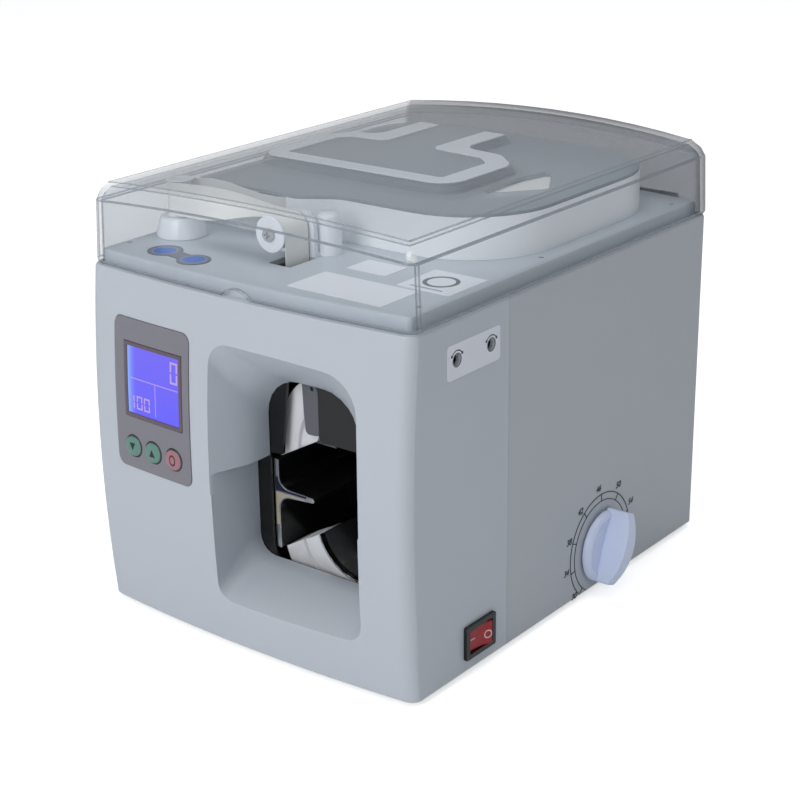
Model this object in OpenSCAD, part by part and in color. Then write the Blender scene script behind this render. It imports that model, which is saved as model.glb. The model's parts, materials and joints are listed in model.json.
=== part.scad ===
// Banknote strapping machine: bench unit with paper-tape reel, note slot and clear cover.
// Units mm, Z up, X to the right seen from the front, Y to the rear. Feet stand on z = 0.

/* [Housing] */
// Width across the flat sides
body_w = 240; // [236:1:244]
// Length of the flat sides, front crease to rear corner
body_d = 304; // [302:1:308]
// Height of the two shells above their lower edge
shell_h = 216; // [215:1:218]
// Wall thickness of the moulded shells
wall = 3; // [2.6:0.2:3.2]
// Gap between the shells' lower edge and the table
foot_drop = 3; // [2:0.5:4]
// How far the front face bows forward over its width
front_bow = 5.5; // [4.5:0.5:6.5]
// How far the front face bows forward over its height
belly = 6.5; // [5.5:0.5:7]
// How far the rear face bows back over its width
rear_bow = 8; // [6:0.5:9]
// Height of the deck's rim above the shells
deck_rise = 9; // [8.6:0.2:9.4]
// Height of the clear cover's crown above the shells
cover_h = 53.5; // [52.5:0.5:56]
// How far the cover's top is crowned over its width
cover_crown = 6; // [5:0.5:7]
// Sideways play of the cover, taken up to the right
cover_play = 1.2; // [0.8:0.1:1.4]
// Wall thickness of the clear cover
cover_wall = 3; // [2.4:0.2:3.2]

/* [Controls] */
// Diameter of the round keys
key_d = 13.6; // [12:0.2:14]
// Travel of the round keys
key_travel = 1.2; // [0.8:0.1:1.3]
// Diameter of the strap position knob
knob_d = 46; // [42:1:48]
// Height of the knob's grip bar above its disc
grip_h = 15; // [12:0.5:18]
// Outer radius of the knob's printed scale ring
dial_r = 34.7; // [32:0.1:36]
// Length of the power switch bezel
switch_l = 29; // [27:0.5:30]
// Height of the power switch bezel
switch_h = 21; // [20:0.5:22]
// Diameter of the two adjuster holes in the side
adjust_d = 7; // [6.4:0.2:7.6]

/* [Tape path] */
// Width of the paper strapping tape
tape_w = 20; // [19:0.5:20.5]
// Outer diameter of the tape roll
roll_d = 148; // [130:2:150]
// Bore diameter of the tape roll
roll_bore = 60; // [56:1:66]
// Diameter of the front guide roller
guide_d = 19; // [17:0.5:20]
// Diameter of the feed rollers
feed_d = 16; // [14:0.5:17]

/* [Running fits] */
// Radial clearance of shafts in their bores
run_fit = 0.05; // [0.03:0.01:0.09]
// Gap left round covers, keys and lids
seat_gap = 0.3; // [0.25:0.05:0.35]

/* [Hidden] */
$fn = 48;
hw = body_w / 2;
hd = body_d / 2;
zs = foot_drop;
zt = foot_drop + shell_h;
zd = zt + deck_rise;
zc = zt + cover_h;
seam_y = -69;
corner_r = 9;
rear_r = 4;
mid_h = 105;
bow_half = 111;
hinge_y = hd + 13;
hinge_z = zt + 2;
hinge_r = 4;
front_out = hd + 5.5 + front_bow + belly;
rear_out = hinge_y + hinge_r;
knob_base = hw + 0.6;
disc_t = 5.4;
knob_out = knob_base + disc_t + grip_h;
x_mid = (knob_out - hw) / 2;
y_mid = (rear_out - front_out) / 2;
knob_y = 33.7;
knob_z = foot_drop + 27.1;
shaft_r = 3;
pin_n = 16;
stop_pitch_r = 6.64;
tongue_pitch_r = 12;
strap_y = -108.3;
tape_x = 0;
tape_t = 0.3;
key_z = zs + 111.2;
key_x = [-82, -64.8, -47.3];
panel_c = [-65.1, zs + 143.4];
window_c = [-63.6, zs + 152.9];
slot_y = -125.7;
// Sections of the note slot: [y, left, right, top or bottom, right radius, left radius]
slot_up = [[slot_y, -11, 62, zs + 159.4, 28, 24], [-135, -10.8, 65.5, zs + 164, 26.5, 22],
  [-145, -11.3, 72, zs + 171, 25, 20], [-156, -15, 81, zs + 180, 23, 17],
  [-167, -18.4, 89, zs + 190.8, 21, 14], [-180, -22.4, 99, zs + 203, 20, 13]];
slot_low = [[slot_y, -21, 79, zs + 44, 6, 12], [-138, -20.4, 80.5, zs + 43.5, 8, 11.5],
  [-162, -18.8, 86.5, zs + 31.5, 11, 10.5], [-180, -17.6, 91.5, zs + 22.5, 12, 10]];
adj_y = [-118.6, -86.8];
adj_z = zs + 193.2;
sw_y = -97.5;
sw_z = zs + 19;
post = [-95, -104];
guide_x = tape_x - tape_t / 2 - guide_d / 2 - 0.1;
guide_z = zd + 17;
roll_c = [22, 38];
floor_z = zs + 5;

// ---- helpers ----
function flat(l) = [for (a = l) each a];
function belly_at(z) = belly * (1 - pow((z - zs - mid_h) / bow_half, 2));
function unit(v) = v / norm(v);
function arc(c, r, a0, a1, n) = [for (i = [0 : n]) let (a = a0 + (a1 - a0) * i / n)
  [c[0] + r * cos(a), c[1] + r * sin(a)]];
// Rounds each corner [x, y, r] of a polygon with n steps.
function fil(P, n = 6) = [for (i = [0 : len(P) - 1]) let (
  m = len(P),
  a = P[(i + m - 1) % m],
  b = P[i],
  c = P[(i + 1) % m],
  u = unit([a[0] - b[0], a[1] - b[1]]),
  v = unit([c[0] - b[0], c[1] - b[1]]),
  h = acos(u * v) / 2,
  w = unit(u + v),
  o = [b[0], b[1]] + w * b[2] / sin(h),
  p = [b[0], b[1]] + u * b[2] / tan(h) - o,
  q = [b[0], b[1]] + v * b[2] / tan(h) - o,
  t0 = atan2(p[1], p[0]),
  t1 = atan2(q[1], q[0]),
  d = t1 - t0,
  s = d > 180 ? d - 360 : d < -180 ? d + 360 : d
) each b[2] <= 0 ? [[b[0], b[1]]] :
    [for (k = [0 : n]) o + b[2] * [cos(t0 + s * k / n), sin(t0 + s * k / n)]]];
function lift(P, z) = [for (p = P) [p[0], p[1], z]];
// Front half of the plan outline, left seam to right seam, inset i at height bow e.
function front_pts(i, e) = let (
  r = max(corner_r - i, 0.8),
  cx = hw - i - r * 0.966,
  yf = hd + 5.5 + e - i,
  xf = cx + r * 0.087
) concat(arc([-cx, -(yf - r)], r, -165, -95, 5),
  [for (k = [-5 : 5]) [xf * k / 6, -(yf + front_bow * (1 - pow(k / 6, 2)))]],
  arc([cx, -(yf - r)], r, -85, -15, 5));
// Rear half, right to left, with rear corner radius rr.
function rear_pts(i, rr) = let (
  r = max(rr - i, 0.8),
  xr = hw - i - r,
  yr = hd - i
) concat(arc([xr, yr - r], r, 0, 82, 6),
  [for (k = [4 : -1 : -4]) [xr * k / 5, yr + rear_bow * (1 - pow(k / 5, 2))]],
  arc([-xr, yr - r], r, 98, 180, 6));
function plan(i, e, rr) = concat(front_pts(i, e), rear_pts(i, rr));
function front_ring(z, i) = lift(concat([[-(hw - i), seam_y]], front_pts(i, belly_at(z)),
  [[hw - i, seam_y]]), z);
function rear_ring(z, i) = lift(concat([[hw - i, seam_y]], rear_pts(i, rear_r), [[-(hw - i), seam_y]]), z);
function plan_ring(z, i, rr) = lift(plan(i, 0, rr), z);
// Solid through a stack of equal-length rings, counter-clockwise from above.
module loft(R) {
  n = len(R[0]);
  m = len(R);
  polyhedron(points = flat(R), convexity = 10, faces = concat(
    [[for (i = [0 : n - 1]) i]],
    flat([for (k = [0 : m - 2]) flat([for (i = [0 : n - 1]) let (j = (i + 1) % n)
      [[k * n + i, (k + 1) * n + i, (k + 1) * n + j], [k * n + i, (k + 1) * n + j, k * n + j]]])]),
    [[for (i = [n - 1 : -1 : 0]) (m - 1) * n + i]]));
}
// The same with a crowned top, closed by strips from the front to the rear points.
module crown_loft(R) {
  n = len(R[0]);
  m = len(R);
  t = (m - 1) * n;
  polyhedron(points = flat(R), convexity = 10, faces = concat(
    [[for (i = [0 : n - 1]) i]],
    flat([for (k = [0 : m - 2]) flat([for (i = [0 : n - 1]) let (j = (i + 1) % n)
      [[k * n + i, (k + 1) * n + i, (k + 1) * n + j], [k * n + i, (k + 1) * n + j, k * n + j]]])]),
    flat([for (i = [0 : n / 2 - 2]) let (j = n - 1 - i)
      [[t + i, t + j, t + j - 1], [t + i, t + j - 1, t + i + 1]]])));
}
module yloft(R) {
  rotate([90, 0, 0]) loft(R);
}
// Rounded rectangle points in X-Z at depth y, as a ring for yloft.
function rr_ring(x0, x1, z0, z1, r, y, n = 4) = [for (q = [0 : 3]) for (i = [0 : n]) let (
  cx = q == 0 || q == 1 ? x1 - r[q] : x0 + r[q],
  cz = q == 0 || q == 3 ? z0 + r[q] : z1 - r[q],
  a = q * 90 - 90 + 90 * i / n
) [cx + r[q] * cos(a), cz + r[q] * sin(a), -y]];
module rsquare(w, h, r) {
  square([w - 2 * r, h], center = true);
  square([w, h - 2 * r], center = true);
  for (x = [-1, 1])
    for (y = [-1, 1])
      translate([x * (w / 2 - r), y * (h / 2 - r)]) circle(r);
}
// Prism of a front-view shape, running from y0 to y1.
module yprism(y0, y1) {
  translate([0, y1, 0]) rotate([90, 0, 0]) linear_extrude(y1 - y0) children();
}
// Prism of a side-view (Y, Z) shape, running from x0 to x1.
module xprism(x0, x1) {
  translate([x0, 0, 0]) rotate([90, 0, 90]) linear_extrude(x1 - x0) children();
}
module ycyl(r, y0, y1, x, z) {
  translate([x, y1, z]) rotate([90, 0, 0]) cylinder(r = r, h = y1 - y0);
}
module xcyl(r, x0, x1, y, z) {
  translate([x0, y, z]) rotate([0, 90, 0]) cylinder(r = r, h = x1 - x0);
}
module zcyl(r, z0, z1, x, y) {
  translate([x, y, z0]) cylinder(r = r, h = z1 - z0);
}
module box(x0, x1, y0, y1, z0, z1) {
  translate([x0, y0, z0]) cube([x1 - x0, y1 - y0, z1 - z0]);
}
module place() {
  translate([-x_mid, -y_mid, 0]) children();
}
module gear(r, n, ad, de, slim) {
  p = 360 / n;
  polygon([for (k = [0 : n - 1]) each [
    [(r - de) * cos(k * p - p * 0.32), (r - de) * sin(k * p - p * 0.32)],
    [r * cos(k * p - p * 0.25 + slim), r * sin(k * p - p * 0.25 + slim)],
    [(r + ad) * cos(k * p - p * 0.12), (r + ad) * sin(k * p - p * 0.12)],
    [(r + ad) * cos(k * p + p * 0.12), (r + ad) * sin(k * p + p * 0.12)],
    [r * cos(k * p + p * 0.25 - slim), r * sin(k * p + p * 0.25 - slim)],
    [(r - de) * cos(k * p + p * 0.32), (r - de) * sin(k * p + p * 0.32)]]]);
}
// Rack points: gaps centred at multiples of the pitch, teeth pointing down.
function rack_pts(n0, n1, p, ad, de, back) = concat([[(n0 - 0.5) * p - p * 0.1, back]],
  flat([for (k = [n0 : n1]) let (c = (k + 0.5) * p - p) [
    [c - p * 0.36, de], [c - p * 0.12, -ad], [c + p * 0.12, -ad], [c + p * 0.36, de]]]),
  [[(n1 - 0.5) * p + p * 0.4, back]]);

// ---- housing ----
module front_solid(d) {
  loft([front_ring(zs, 1.2 + d), front_ring(zs + 1.2, d),
    for (k = [1 : 9]) front_ring(zs + 1.2 + (shell_h - 3.2) * k / 10, d),
    front_ring(zt - 2, d), front_ring(zt - 0.6, d + 0.6), front_ring(zt, d + 2)]);
}
module front_hollow() {
  loft([for (k = [0 : 8]) let (z = zs - 1 + (shell_h + 2) * k / 8)
    [for (p = front_ring(z, wall)) [p[0], p[1] > seam_y - 0.01 ? seam_y + 1 : p[1], z]]]);
}
module slot_bore(g) {
  yloft([for (s = slot_up)
    rr_ring(s[1] - g, s[2] + g, zs + 96 - g, s[3] + g, [1, s[4], s[5], 1], s[0], 6)]);
  yloft([for (s = slot_low)
    rr_ring(s[1] - g, s[2] + g, s[3] - g, zs + 109 + g, [s[4], 1, 1, s[5]], s[0], 5)]);
}
module panel_cut(g) {
  yprism(-190, -140) translate(panel_c) rsquare(63.4 + g, 93 + g, 6);
}
module rear_solid(d) {
  loft([rear_ring(zs, 1.2 + d), rear_ring(zs + 1.2, d), rear_ring(zt - 2, d),
    rear_ring(zt - 0.6, d + 0.6), rear_ring(zt, d + 2)]);
}
module front_shell() {
  color([0.72, 0.76, 0.82]) place() difference() {
    union() {
      difference() {
        front_solid(0);
        front_hollow();
      }
      // ledge that carries the deck
      difference() {
        loft([front_ring(zt - 8.2, wall - 0.4), front_ring(zt - 5.2, wall - 0.4)]);
        loft([front_ring(zt - 9, 9), front_ring(zt - 4, 9)]);
        box(-150, 150, seam_y - 1, seam_y + 1, 0, 300);
      }
      // walls of the note slot
      intersection() {
        slot_bore(2.6);
        front_solid(1.5);
        box(-60, 110, -180, slot_y, 0, 300);
      }
      // pillars for the panel board
      intersection() {
        for (x = [-101, -36])
          for (z = [zs + 100, zs + 184])
            ycyl(3, -175, -151, x, z);
        front_solid(1.5);
      }
    }
    slot_bore(0);
    difference() {
      panel_cut(0.5);
      front_solid(1.6);
    }
    yprism(-190, -150) translate(window_c) square([41, 38], center = true);
    for (x = key_x)
      ycyl(key_d / 2 + seat_gap, -190, -150, x, key_z);
    for (y = adj_y)
      xcyl(adjust_d / 2, hw - 10, hw + 10, y, adj_z);
    box(hw - 10, hw + 10, sw_y - switch_l / 2 + 2, sw_y + switch_l / 2 - 2,
      sw_z - switch_h / 2 + 2, sw_z + switch_h / 2 - 2);
    // drilled ends of the pillars
    for (x = [-101, -36])
      for (z = [zs + 100, zs + 184])
        ycyl(1.2, -159, -150, x, z);
  }
}
module rear_housing() {
  color([0.60, 0.62, 0.64]) place() difference() {
    union() {
      difference() {
        intersection() {
          rear_solid(0);
          box(-150, 150, seam_y + 0.3, 200, 0, 300);
        }
        loft([for (z = [zs - 1, zt + 1]) [for (p = rear_ring(z, wall)) [p[0],
          p[1] < seam_y + 0.01 ? seam_y - 1 : p[1], z]]]);
      }
      // tongue that closes the seam behind the front shell
      for (s = [-1, 1])
        box(s > 0 ? hw - wall - 2 : -hw + wall + 0.2, s > 0 ? hw - wall - 0.2 : -hw + wall + 2,
          seam_y - 8, seam_y + 12, zs + 12, zt - 12);
      for (s = [-1, 1])
        box(s > 0 ? hw - wall - 2 : -hw, s > 0 ? hw : -hw + wall + 2, seam_y + 2,
          seam_y + 12, zs + 12, zt - 12);
      // ledge that carries the deck
      difference() {
        loft([rear_ring(zt - 8.2, wall - 0.4), rear_ring(zt - 5.2, wall - 0.4)]);
        loft([rear_ring(zt - 9, 9), rear_ring(zt - 4, 9)]);
        box(-150, 150, seam_y - 1, seam_y + 13, 0, 300);
      }
      // flat pad behind the power inlet
      intersection() {
        rear_solid(1);
        box(-98, -42, hd - 6, hd + 20, zs + 10, zs + 50);
      }
      // hinge knuckles
      for (x = [-70, 70]) {
        box(x - 9.7, x + 9.7, hd + 2.9, hinge_y, zt - 16, hinge_z - 5);
        difference() {
          union() {
            xcyl(hinge_r, x - 9.7, x + 9.7, hinge_y, hinge_z);
            box(x - 9.7, x + 9.7, hinge_y - 4, hinge_y + 4, hinge_z - 10, hinge_z);
          }
          xcyl(1.5 + run_fit, x - 20, x + 20, hinge_y, hinge_z);
        }
      }
    }
    // pocket and cut-out for the power inlet
    box(-96, -44, hd + 1.2, hd + 30, zs + 14, zs + 46);
    box(-84, -56, hd - 20, hd + 30, zs + 20, zs + 40);
    // cooling slots
    for (k = [0 : 9])
      box(-18 + k * 9, -14.5 + k * 9, hd - 20, hd + 30, zs + 60, zs + 110);
    for (k = [0 : 7])
      box(-hw - 5, -hw + 10, -20 + k * 10, -16 + k * 10, zs + 30, zs + 66);
    xcyl(shaft_r + run_fit, hw - 10, hw + 10, knob_y, knob_z);
  }
}
module base_plate() {
  color([0.62, 0.63, 0.64]) place() difference() {
    loft([plan_ring(zs + 3, wall + 0.5, rear_r), plan_ring(floor_z, wall + 0.5, rear_r)]);
    for (x = [-95, 95])
      for (y = [-125, 122])
        zcyl(2, 0, 20, x, y);
    for (k = [0 : 6])
      box(-60 + k * 12, -55 + k * 12, 60, 110, 0, 20);
  }
}
module feet() {
  color([0.10, 0.10, 0.11]) place()
    for (x = [-95, 95])
      for (y = [-125, 122])
        translate([x, y, 0]) difference() {
          rotate_extrude() polygon([[0, 0], [8, 0], [9, 1], [10, zs + 3], [1.9, zs + 3],
            [1.9, floor_z + 2], [0, floor_z + 2]]);
          translate([0, 0, -1]) cylinder(r = 4.2, h = 3.2);
        }
}
module top_deck() {
  f = wall + seat_gap + 0.2;
  g = f + cover_play + 0.5;
  color([0.64, 0.67, 0.68]) place() difference() {
    loft([plan_ring(zt - 5.2, f, rear_r), plan_ring(zt - 0.6, f, rear_r),
      plan_ring(zt - 0.2, g, rear_r), plan_ring(zd - 3, g, rear_r),
      plan_ring(zd - 1, g + 0.7, rear_r), plan_ring(zd, g + 2.8, rear_r)]);
    loft([plan_ring(zt - 6, g + 3, rear_r), plan_ring(zd - 3, g + 3, rear_r)]);
    // tape slot and screw holes
    box(tape_x - 12, tape_x + 4.5, strap_y - tape_w / 2 - 1.6, strap_y + tape_w / 2 + 1.6, 0, 300);
    for (x = [-108, 108])
      for (y = [-135, -20, 128])
        zcyl(1.7, 0, 300, x, y);
  }
}
// Plan outline at height z and inset i, moved by the play and crowned where k is 1.
function cover_ring(z, i, k) = [for (p = plan_ring(z, i, rear_r))
  [p[0] + cover_play, p[1], z + k * cover_crown * (1 - pow(p[0] / hw, 2))]];
// Clear cover: outer and inner lofts with a two-step chamfer under a crowned top.
module dust_cover() {
  w = cover_wall;
  z0 = zt + seat_gap;
  zk = zc - cover_crown;
  color([0.85, 0.90, 0.92, 0.35]) place() difference() {
    union() {
      difference() {
        crown_loft([cover_ring(z0, 1.4, 0), cover_ring(z0 + 2, 0.4, 0), cover_ring(zk - 10, 2, 1),
          cover_ring(zk - 4.8, 4.6, 1), cover_ring(zk, 9.2, 1)]);
        crown_loft([cover_ring(z0 - 1, 0.4 + w, 0), cover_ring(zk - 10 - w * 0.3, 2 + w * 0.95, 1),
          cover_ring(zk - 4.8 - w * 0.65, 4.6 + w * 0.75, 1), cover_ring(zk - w, 9.2 + w * 0.4, 1)]);
      }
      for (x = [-70, 70])
        for (s = [-1, 1]) {
          xcyl(hinge_r, x + s * 15 - 5, x + s * 15 + 5, hinge_y, hinge_z);
          difference() {
            box(x + s * 15 - 5, x + s * 15 + 5, hd + 1.2, hinge_y, z0 + 0.2, hinge_z + hinge_r);
            loft([cover_ring(z0 - 1, 0.4 + w * 0.6, 0), cover_ring(zt + 20, 0.4 + w * 0.6, 0)]);
          }
        }
    }
    for (x = [-70, 70])
      xcyl(1.5, x - 30, x + 30, hinge_y, hinge_z);
    // finger notch in the front lip
    ycyl(14, -190, -140, 0, z0 - 9);
  }
}
module hinge_pins() {
  color([0.75, 0.75, 0.77]) place()
    for (x = [-70, 70])
      xcyl(1.5, x - 20, x + 20, hinge_y, hinge_z);
}

// ---- control panel ----
module panel_plate() {
  color([0.42, 0.43, 0.48]) place() difference() {
    intersection() {
      front_solid(-0.6);
      panel_cut(0);
    }
    front_solid(1.6);
    yprism(-190, -140) translate(window_c) square([49.4, 46.4], center = true);
    for (x = key_x)
      ycyl(key_d / 2 + seat_gap, -190, -150, x, key_z);
  }
}
module window_frame() {
  color([0.75, 0.77, 0.80]) place() difference() {
    intersection() {
      front_solid(-0.9);
      yprism(-190, -140) translate(window_c) square([49, 46], center = true);
    }
    front_solid(1.6);
    yprism(-190, -140) translate(window_c) square([44.2, 41.2], center = true);
  }
}
module display_lens() {
  color([0.45, 0.45, 0.95, 0.7]) place() difference() {
    intersection() {
      front_solid(-0.2);
      yprism(-190, -140) translate(window_c) square([44, 41], center = true);
    }
    front_solid(1.6);
  }
}
module display_module() {
  color([0.35, 0.33, 0.90]) place() difference() {
    box(window_c[0] - 26, window_c[0] + 25, -159.3, -151, window_c[1] - 24, window_c[1] + 24);
    box(window_c[0] - 20, window_c[0] + 20, -170, -158.7, window_c[1] - 18.5, window_c[1] + 18.5);
  }
}
module panel_board() {
  color([0.10, 0.35, 0.20]) place() difference() {
    union() {
      box(-105, -33, -151, -149.4, zs + 96, zs + 188);
      for (x = key_x) {
        box(x - 3, x + 3, -155, -151, key_z - 3, key_z + 3);
        ycyl(1.6, -156, -155, x, key_z);
      }
      box(-100, -60, -149.4, -143, zs + 150, zs + 162);
      box(-98, -78, -149.4, -146.5, zs + 118, zs + 138);
    }
    for (x = [-101, -36])
      for (z = [zs + 100, zs + 184])
        ycyl(1.2, -160, -140, x, z);
  }
}
module key_cap(x) {
  ys = -(hd + 5.5 + front_bow * (1 - pow(x / (hw - 9.6), 2)) + belly_at(key_z));
  translate([x, ys, key_z]) rotate([-90, 0, 0]) rotate_extrude()
    polygon([[0, -2.2], [key_d * 0.3, -2.0], [key_d / 2 - 0.9, -1.5], [key_d / 2, -0.6],
      [key_d / 2, 4.2], [8.4, 4.2], [8.4, 5.7], [3, 5.7], [3, -ys - 157.5], [0, -ys - 157.5]]);
}
module key_down() {
  color([0.36, 0.55, 0.50]) place() key_cap(key_x[0]);
}
module key_up() {
  color([0.36, 0.55, 0.50]) place() key_cap(key_x[1]);
}
module key_clear() {
  color([0.72, 0.42, 0.50]) place() key_cap(key_x[2]);
}

// ---- note slot and strap track ----
module slot_liner() {
  color([0.07, 0.07, 0.08]) place() difference() {
    union() {
      box(-48, 96, -125.4, -123.6, zs + 12, zs + 204);
      for (p = [[-43, 17], [91, 17], [-43, 199], [91, 199]])
        ycyl(3, -123.6, -97, p[0], zs + p[1]);
    }
    yprism(-130, -120) polygon(fil([[-11, zs + 43, 8], [80, zs + 43, 16], [80, zs + 126, 14],
      [27, zs + 126, 3], [27, zs + 161, 6], [4.5, zs + 161, 6], [-1, zs + 111, 2], [-11, zs + 111, 2]]));
    yprism(-130, -120) translate([0, zs + 186]) square([24, 12], center = true);
  }
}
track_o = [-8, 106, zs + 17, zs + 166];
track_i = [17.5, 85, zs + 40, zs + 143];
track_ir = 33;
module track_shape(o, r) {
  translate([(o[0] + o[1]) / 2, (o[2] + o[3]) / 2]) rsquare(o[1] - o[0], o[3] - o[2], r);
}
module strap_track() {
  y0 = strap_y - tape_w / 2 - 0.7;
  color([0.88, 0.89, 0.92]) place() difference() {
    yprism(y0, -97) track_shape(track_o, 44);
    yprism(y0 - 1, -90) track_shape(track_i, track_ir);
    // groove the tape runs in
    yprism(y0 - 1, strap_y + tape_w / 2 + 0.4) difference() {
      track_shape([track_o[0] + 14, track_o[1] - 14, track_o[2] + 14, track_o[3] + 30], 36);
      track_shape([track_o[0] + 15.4, track_o[1] - 15.4, track_o[2] + 15.4, track_o[3] + 28.6], 34.6);
    }
    // gap for the sliding tongue
    box(-20, 36, -130, -90, zs + 46, zs + 112);
    box(-2, 3, -130, strap_y + tape_w / 2 + 0.4, zs + 112, zs + 180);
  }
}
module track_edge() {
  y0 = strap_y - tape_w / 2 - 0.7;
  color([0.80, 0.80, 0.82]) place() difference() {
    yprism(y0, y0 + 4) track_shape(track_i, track_ir);
    yprism(y0 - 1, y0 + 5) track_shape([track_i[0] + 1, track_i[1] - 1, track_i[2] + 1, track_i[3] - 1],
      track_ir - 1);
    box(-20, 36, -130, -90, zs + 46, zs + 112);
  }
}
module track_funnel() {
  y0 = strap_y - tape_w / 2 + 3.6;
  color([0.06, 0.06, 0.07]) place() difference() {
    yprism(y0, -94.2) track_shape(track_i, track_ir);
    yloft([rr_ring(track_i[0] + 9, track_i[1] - 4, track_i[2] + 9, track_i[3] - 6, [24, 24, 24, 24], -93),
      rr_ring(track_i[0] + 1, track_i[1] - 1, track_i[2] + 1, track_i[3] - 1,
        [for (k = [0 : 3]) track_ir - 1], y0 - 0.1)]);
    box(-20, 45, -130, -90, zs + 46, zs + 112);
  }
}
module track_shutter() {
  color([0.50, 0.51, 0.54]) place() difference() {
    union() {
      yprism(-122.4, -121) polygon(fil([[13.4, zs + 140, 8], [14.6, zs + 127, 3], [24.4, zs + 127.6, 2.5],
        [26.6, zs + 158, 6], [26.6, zs + 172, 2], [12, zs + 172, 2]]));
      ycyl(4, -121, strap_y - tape_w / 2 - 0.7, 20, zs + 156);
    }
    ycyl(1.3, -130, -110, 20, zs + 156);
  }
}
// T-section tongue: upright web with a filleted fin, drawn by formula.
function tongue_pts() = concat(
  [[-10.5, zs + 49], [-7, zs + 49]],
  [for (k = [0 : 8]) let (a = 90 * k / 8) [-7 + 9 * (1 - cos(a)) , zs + 74 + 9 * sin(a)]],
  [[18, zs + 84.4]],
  [for (k = [0 : 4]) let (a = -70 + 35 * k) [18.6 + 1.4 * cos(a), zs + 85.8 + 1.4 * sin(a)]],
  [[18, zs + 87.3]],
  [for (k = [0 : 8]) let (a = 90 * k / 8) [-7 + 7 * (1 - sin(a)), zs + 95.3 - 7 * cos(a)]],
  [[-7, zs + 106], [-10.5, zs + 106]]);
module tongue() {
  color([0.06, 0.06, 0.07]) place()
    yprism(-122.5, -46) polygon(tongue_pts());
}
module tongue_face() {
  color([0.82, 0.82, 0.84]) place()
    yprism(-123.3, -122.5) polygon(tongue_pts());
}
module tongue_carriage() {
  color([0.55, 0.56, 0.58]) place() difference() {
    union() {
      box(-20, 4, -46, -30, zs + 49, zs + 122);
      yprism(-44, -36) translate([-30, zs + 128]) mirror([0, 1])
        polygon(rack_pts(-1, 7, PI * 1.5, 1.2, 1.6, 5));
      box(-36, 4, -44, -36, zs + 121, zs + 124.5);
    }
    for (z = [zs + 57, zs + 114])
      xcyl(4 + run_fit, -80, 80, -38, z);
  }
}
module guide_rods() {
  color([0.78, 0.78, 0.80]) place()
    for (z = [zs + 57, zs + 114])
      xcyl(4, -76, 103, -38, z);
}
module tongue_pinion() {
  color([0.75, 0.62, 0.30]) place() difference() {
    union() {
      yprism(-43.5, -36.5) translate([-30, zs + 140]) rotate(-90)
        gear(tongue_pitch_r, pin_n, 1.2, 1.6, 3);
      ycyl(6, -36.5, -31, -30, zs + 140);
      ycyl(2.5, -43.5, 2, -30, zs + 140);
    }
    for (a = [0 : 60 : 300])
      ycyl(1.6, -50, -36.5, -30 + 7.4 * cos(a), zs + 140 + 7.4 * sin(a));
  }
}
module tongue_motor() {
  color([0.35, 0.36, 0.38]) place() difference() {
    union() {
      ycyl(16, -3, 8, -30, zs + 140);
      ycyl(14, 8, 44, -30, zs + 140);
      ycyl(4, 44, 47, -30, zs + 140);
    }
    ycyl(2.5 + run_fit, -4, 2.5, -30, zs + 140);
  }
}
module note_stop() {
  rz = knob_z + stop_pitch_r;
  color([0.20, 0.21, 0.23]) place() {
    difference() {
      xprism(24, 82)
        polygon(fil([[-60, zs + 42, 0.8], [-57, zs + 42, 0.8], [-57, zs + 138, 1.2], [-60, zs + 138, 1.2]]));
      for (z = [zs + 66, zs + 90, zs + 114])
        box(34, 72, -70, -50, z - 6, z + 6);
    }
    xprism(24, 98) polygon([[-57, rz + 2], [-46, rz + 2], [-46, rz + 7], [-52, rz + 7], [-57, rz + 14]]);
    box(91, 98, -52, 66, rz + 2.2, rz + 7);
    xprism(91, 98) translate([knob_y, rz])
      polygon(rack_pts(-5, 9, stop_pitch_r * 2 * PI / pin_n, 0.8, 1.1, 3));
  }
}
module knob() {
  r = knob_d / 2;
  color([0.90, 0.92, 0.98]) place() difference() {
    union() {
      translate([knob_base, knob_y, knob_z]) rotate([0, 90, 0]) rotate_extrude()
        polygon([[0, 0], [r - 1.6, 0], [r - 1.6, 1], [r, 1.2], [r, 2.6], [r - 0.8, 4.2], [r - 2.4, 5.2],
          [r - 4, disc_t], [r - 5.5, disc_t - 0.8], [r - 8, disc_t - 1.2], [0, disc_t - 1.2]]);
      // grip bar with a crowned back
      translate([knob_base, knob_y, knob_z]) rotate([-22, 0, 0]) intersection() {
        xprism(1, 40) polygon(fil([[-4.6, -r + 0.4, 1.5], [4.6, -r + 0.4, 1.5], [5.4, 0, 20],
          [4.0, r + 1.2, 1.5], [-4.0, r + 1.2, 1.5], [-5.4, 0, 20]], 4));
        translate([0, -20, 0]) rotate([-90, 0, 0]) linear_extrude(40)
          polygon(concat([[0, -30], [0, 30]], [for (k = [0 : 12]) let (t = 1 - k / 6)
            [disc_t + grip_h * (1 - 0.52 * pow(abs(t + 0.12), 2.2)), t * (r + 3)]]));
      }
    }
    xcyl(shaft_r, knob_base - 1, knob_base + 9, knob_y, knob_z);
  }
}
module knob_shaft() {
  color([0.70, 0.70, 0.72]) place() {
    xcyl(shaft_r, 99, knob_base + 9, knob_y, knob_z);
    xprism(90, 99) translate([knob_y, knob_z]) rotate(90)
      gear(stop_pitch_r, pin_n, 0.8, 1.1, 3);
  }
}
module dial_scale() {
  color([0.12, 0.12, 0.13]) place() intersection() {
    xprism(hw, hw + 0.25) translate([knob_y, knob_z]) {
      difference() {
        circle(dial_r, $fn = 96);
        circle(dial_r - 0.6, $fn = 96);
      }
      difference() {
        circle(dial_r - 4.7, $fn = 96);
        circle(dial_r - 5.2, $fn = 96);
      }
      for (k = [0 : 7])
        rotate(228 - k * 34.5) translate([dial_r - 5, -0.3]) square([4.6, 0.6]);
    }
    box(0, 200, -100, 150, zs + 2, 200);
  }
}
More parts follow.
